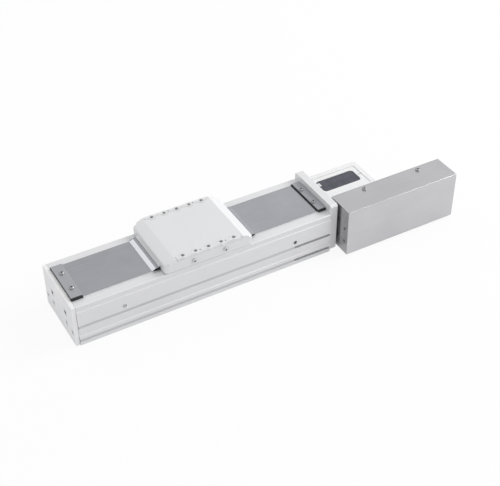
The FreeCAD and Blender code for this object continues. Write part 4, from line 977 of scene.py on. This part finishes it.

# Side stage: a milled plate on the front of the housing, and over it a box folded from
# brushed sheet, held by two screws from above. Its long fold has a painted highlight, and
# its end towards the flange painted shade.
brushed = lined_finish(
    "brushed_sheet", (0.55, 0.548, 0.565), (0.63, 0.628, 0.645),
    roughness=0.24, metallic=0.9, stretch=(6, 2600, 2600), cloud_size=0.06,
)
painted_fold_highlight = lined_finish(
    "painted_fold_highlight", (0.53, 0.53, 0.54), (0.58, 0.58, 0.59),
    roughness=0.26, metallic=0.9, stretch=(6, 2600, 2600),
)
# Painted shade: the end towards the flange is a darker copy of the brushed sheet, its lines
# along it.
brushed_end_shade = lined_finish(
    "brushed_end_shade", (0.45, 0.448, 0.462), (0.51, 0.508, 0.522),
    roughness=0.28, metallic=0.9, stretch=(2600, 6, 2600),
)
BOX_RIM, FOLD_ZONE = 0.1 * MM, 0.7 * MM
dressed_copy("motor_plate", "base", milled, edge=0.4 * MM)
finish_node(screw_zinc, "motor_plate_screws")
box_low, box_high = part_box("belt_box_cover")
box = dressed_copy(
    "belt_box_cover", "base", brushed, edge=0.6 * MM, segments=3,
    edge_finish=painted_fold_highlight, face_finish=brushed_end_shade,
    is_fine=lambda line: all(end.co.y > box_high.y - BOX_RIM for end in line.verts),
)
# Painted shade on the end towards the flange; of the broken edges, only the long top fold keeps
# its painted highlight.
for face in settle(box).polygons:
    is_high = face.center.z > box_high.z - FOLD_ZONE
    on_fold = is_high and face.center.y < box_low.y + FOLD_ZONE
    if face.normal.x < -FACING:
        face.material_index = FACE
    elif face.material_index == EDGE and not on_fold:
        face.material_index = PLAIN
set_screws(
    "box_cover_screws", "base", lambda low: (0, 0, 1), head_height=1.7 * MM,
    shank_radius=1.15 * MM, hexagon=1.1 * MM, finish=shaded_zinc,
)

# Box end screws: two short ones with wide heads, painted darker as shade, in the end of
# the box that looks to the flange.
END_SCREWS = ((-50.2 * MM, 35.4 * MM), (-51.2 * MM, 18.8 * MM))
HEAD_STANDS = 0.7 * MM
place_screws(
    "box_end_screws", "base", [(box_low.x - HEAD_STANDS, y, z) for y, z in END_SCREWS],
    [(-1, 0, 0)] * len(END_SCREWS), head_radius=2.4 * MM, length=3 * MM, head_height=1.2 * MM,
    shank_radius=0.9 * MM, hexagon=1.6 * MM, head_edge=0.3 * MM, finish=shaded_zinc,
    recess=painted_socket_shade,
)

# Studio: a pale floor that stays white to the camera and keeps a soft shadow, an even
# sky, and soft lamps above the drive end, in front, at the ends and behind.
FLOOR_REACH, FLOOR_DROP = 6, 0.2 * MM
FLOOR_COLOUR = (0.85, 0.85, 0.86, 1)
FLOOR_WHITE, FLOOR_MIRRORED = 0.9, 0.45
SKY_LEVEL, SKY_SEEN = 0.66, 1
LAMP_TARGET = Vector((0.07, 0, 0))
floor_mesh = bpy.data.meshes.new("floor")
floor_corners = ((-1, -1), (1, -1), (1, 1), (-1, 1))
floor_mesh.from_pydata(
    [(x * FLOOR_REACH, y * FLOOR_REACH, 0) for x, y in floor_corners], [], [(0, 1, 2, 3)]
)
floor = add_object("floor", floor_mesh)
floor.location.z = -FLOOR_DROP
floor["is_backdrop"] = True
floor_paint = bpy.data.materials.new("floor_paint")
floor_paint.use_nodes = True
floor_mesh.materials.append(floor_paint)
paint = floor_paint.node_tree
paint.nodes.remove(paint.nodes["Principled BSDF"])
ray = add_node(paint, "ShaderNodeLightPath", {})
mirrored = add_node(
    paint, "ShaderNodeMath", {0: ray["Is Glossy Ray"], 1: FLOOR_MIRRORED}, operation="MULTIPLY"
)["Value"]
direct = add_node(
    paint, "ShaderNodeMath", {0: ray["Is Camera Ray"], 1: mirrored}, operation="MAXIMUM"
)["Value"]
white = add_node(
    paint, "ShaderNodeMath", {0: direct, 1: FLOOR_WHITE}, operation="MULTIPLY"
)["Value"]
matt = add_node(paint, "ShaderNodeBsdfDiffuse", {"Color": FLOOR_COLOUR})["BSDF"]
glow = add_node(paint, "ShaderNodeEmission", {})["Emission"]
mixed = add_node(paint, "ShaderNodeMixShader", {"Fac": white, 1: matt, 2: glow})["Shader"]
paint.links.new(mixed, paint.nodes["Material Output"].inputs["Surface"])

world = bpy.data.worlds.new("studio")
world.use_nodes = True
sky = world.node_tree.nodes["Background"]
sky.inputs["Color"].default_value = (1, 1, 1, 1)
seen = add_node(world.node_tree, "ShaderNodeLightPath", {})["Is Camera Ray"]
sky_level = add_node(
    world.node_tree, "ShaderNodeMapRange",
    {"Value": seen, "To Min": SKY_LEVEL, "To Max": SKY_SEEN},
)["Result"]
world.node_tree.links.new(sky_level, sky.inputs["Strength"])
bpy.context.scene.world = world


def soft_lamp(name, place, size, power):
    """A square lamp aimed at the module; its place and size are in metres."""
    light = bpy.data.lights.new(name, "AREA")
    light.size = size
    light.energy = power
    lamp = add_object(name, light)
    lamp.location = place
    lamp.rotation_euler = (LAMP_TARGET - Vector(place)).to_track_quat("-Z", "Y").to_euler()


soft_lamp("key_lamp", (1.9, -0.4, 1.5), size=1.4, power=31)
soft_lamp("glow_lamp", (1.5, 1.6, 1.3), size=1.5, power=0.7)
soft_lamp("low_lamp", (1.8, 1.65, 0.5), size=1.2, power=5)
soft_lamp("front_lamp", (0.2, -2.2, 0.9), size=1.5, power=2.0)
soft_lamp("end_lamp", (-2.2, -0.3, 1.1), size=1.5, power=5.5)
soft_lamp("back_lamp", (-0.4, 1.4, 1.5), size=0.9, power=2.8)

# Camera: at the photograph's angle and distance, aimed at the middle of the module, with a
# small sideways shift.
AZIMUTH, ELEVATION = math.radians(-29.945), math.radians(39.29)
TARGET = Vector((77.05, 0.57, 14)) * MM
DISTANCE = 1225.2 * MM
backward = Vector((
    math.sin(AZIMUTH) * math.cos(ELEVATION),
    -math.cos(AZIMUTH) * math.cos(ELEVATION),
    math.sin(ELEVATION),
))
lens = bpy.data.cameras.new("photo_camera")
lens.sensor_width = 36
lens.lens = 78.67
lens.shift_x = -0.0094
camera = add_object("photo_camera", lens)
camera.location = TARGET + backward * DISTANCE
camera.rotation_euler = (-backward).to_track_quat("-Z", "Y").to_euler()
bpy.context.scene.camera = camera
bpy.context.scene.view_settings.view_transform = "Standard"

# Size: the box round the dressed module, without the floor.
low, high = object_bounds()
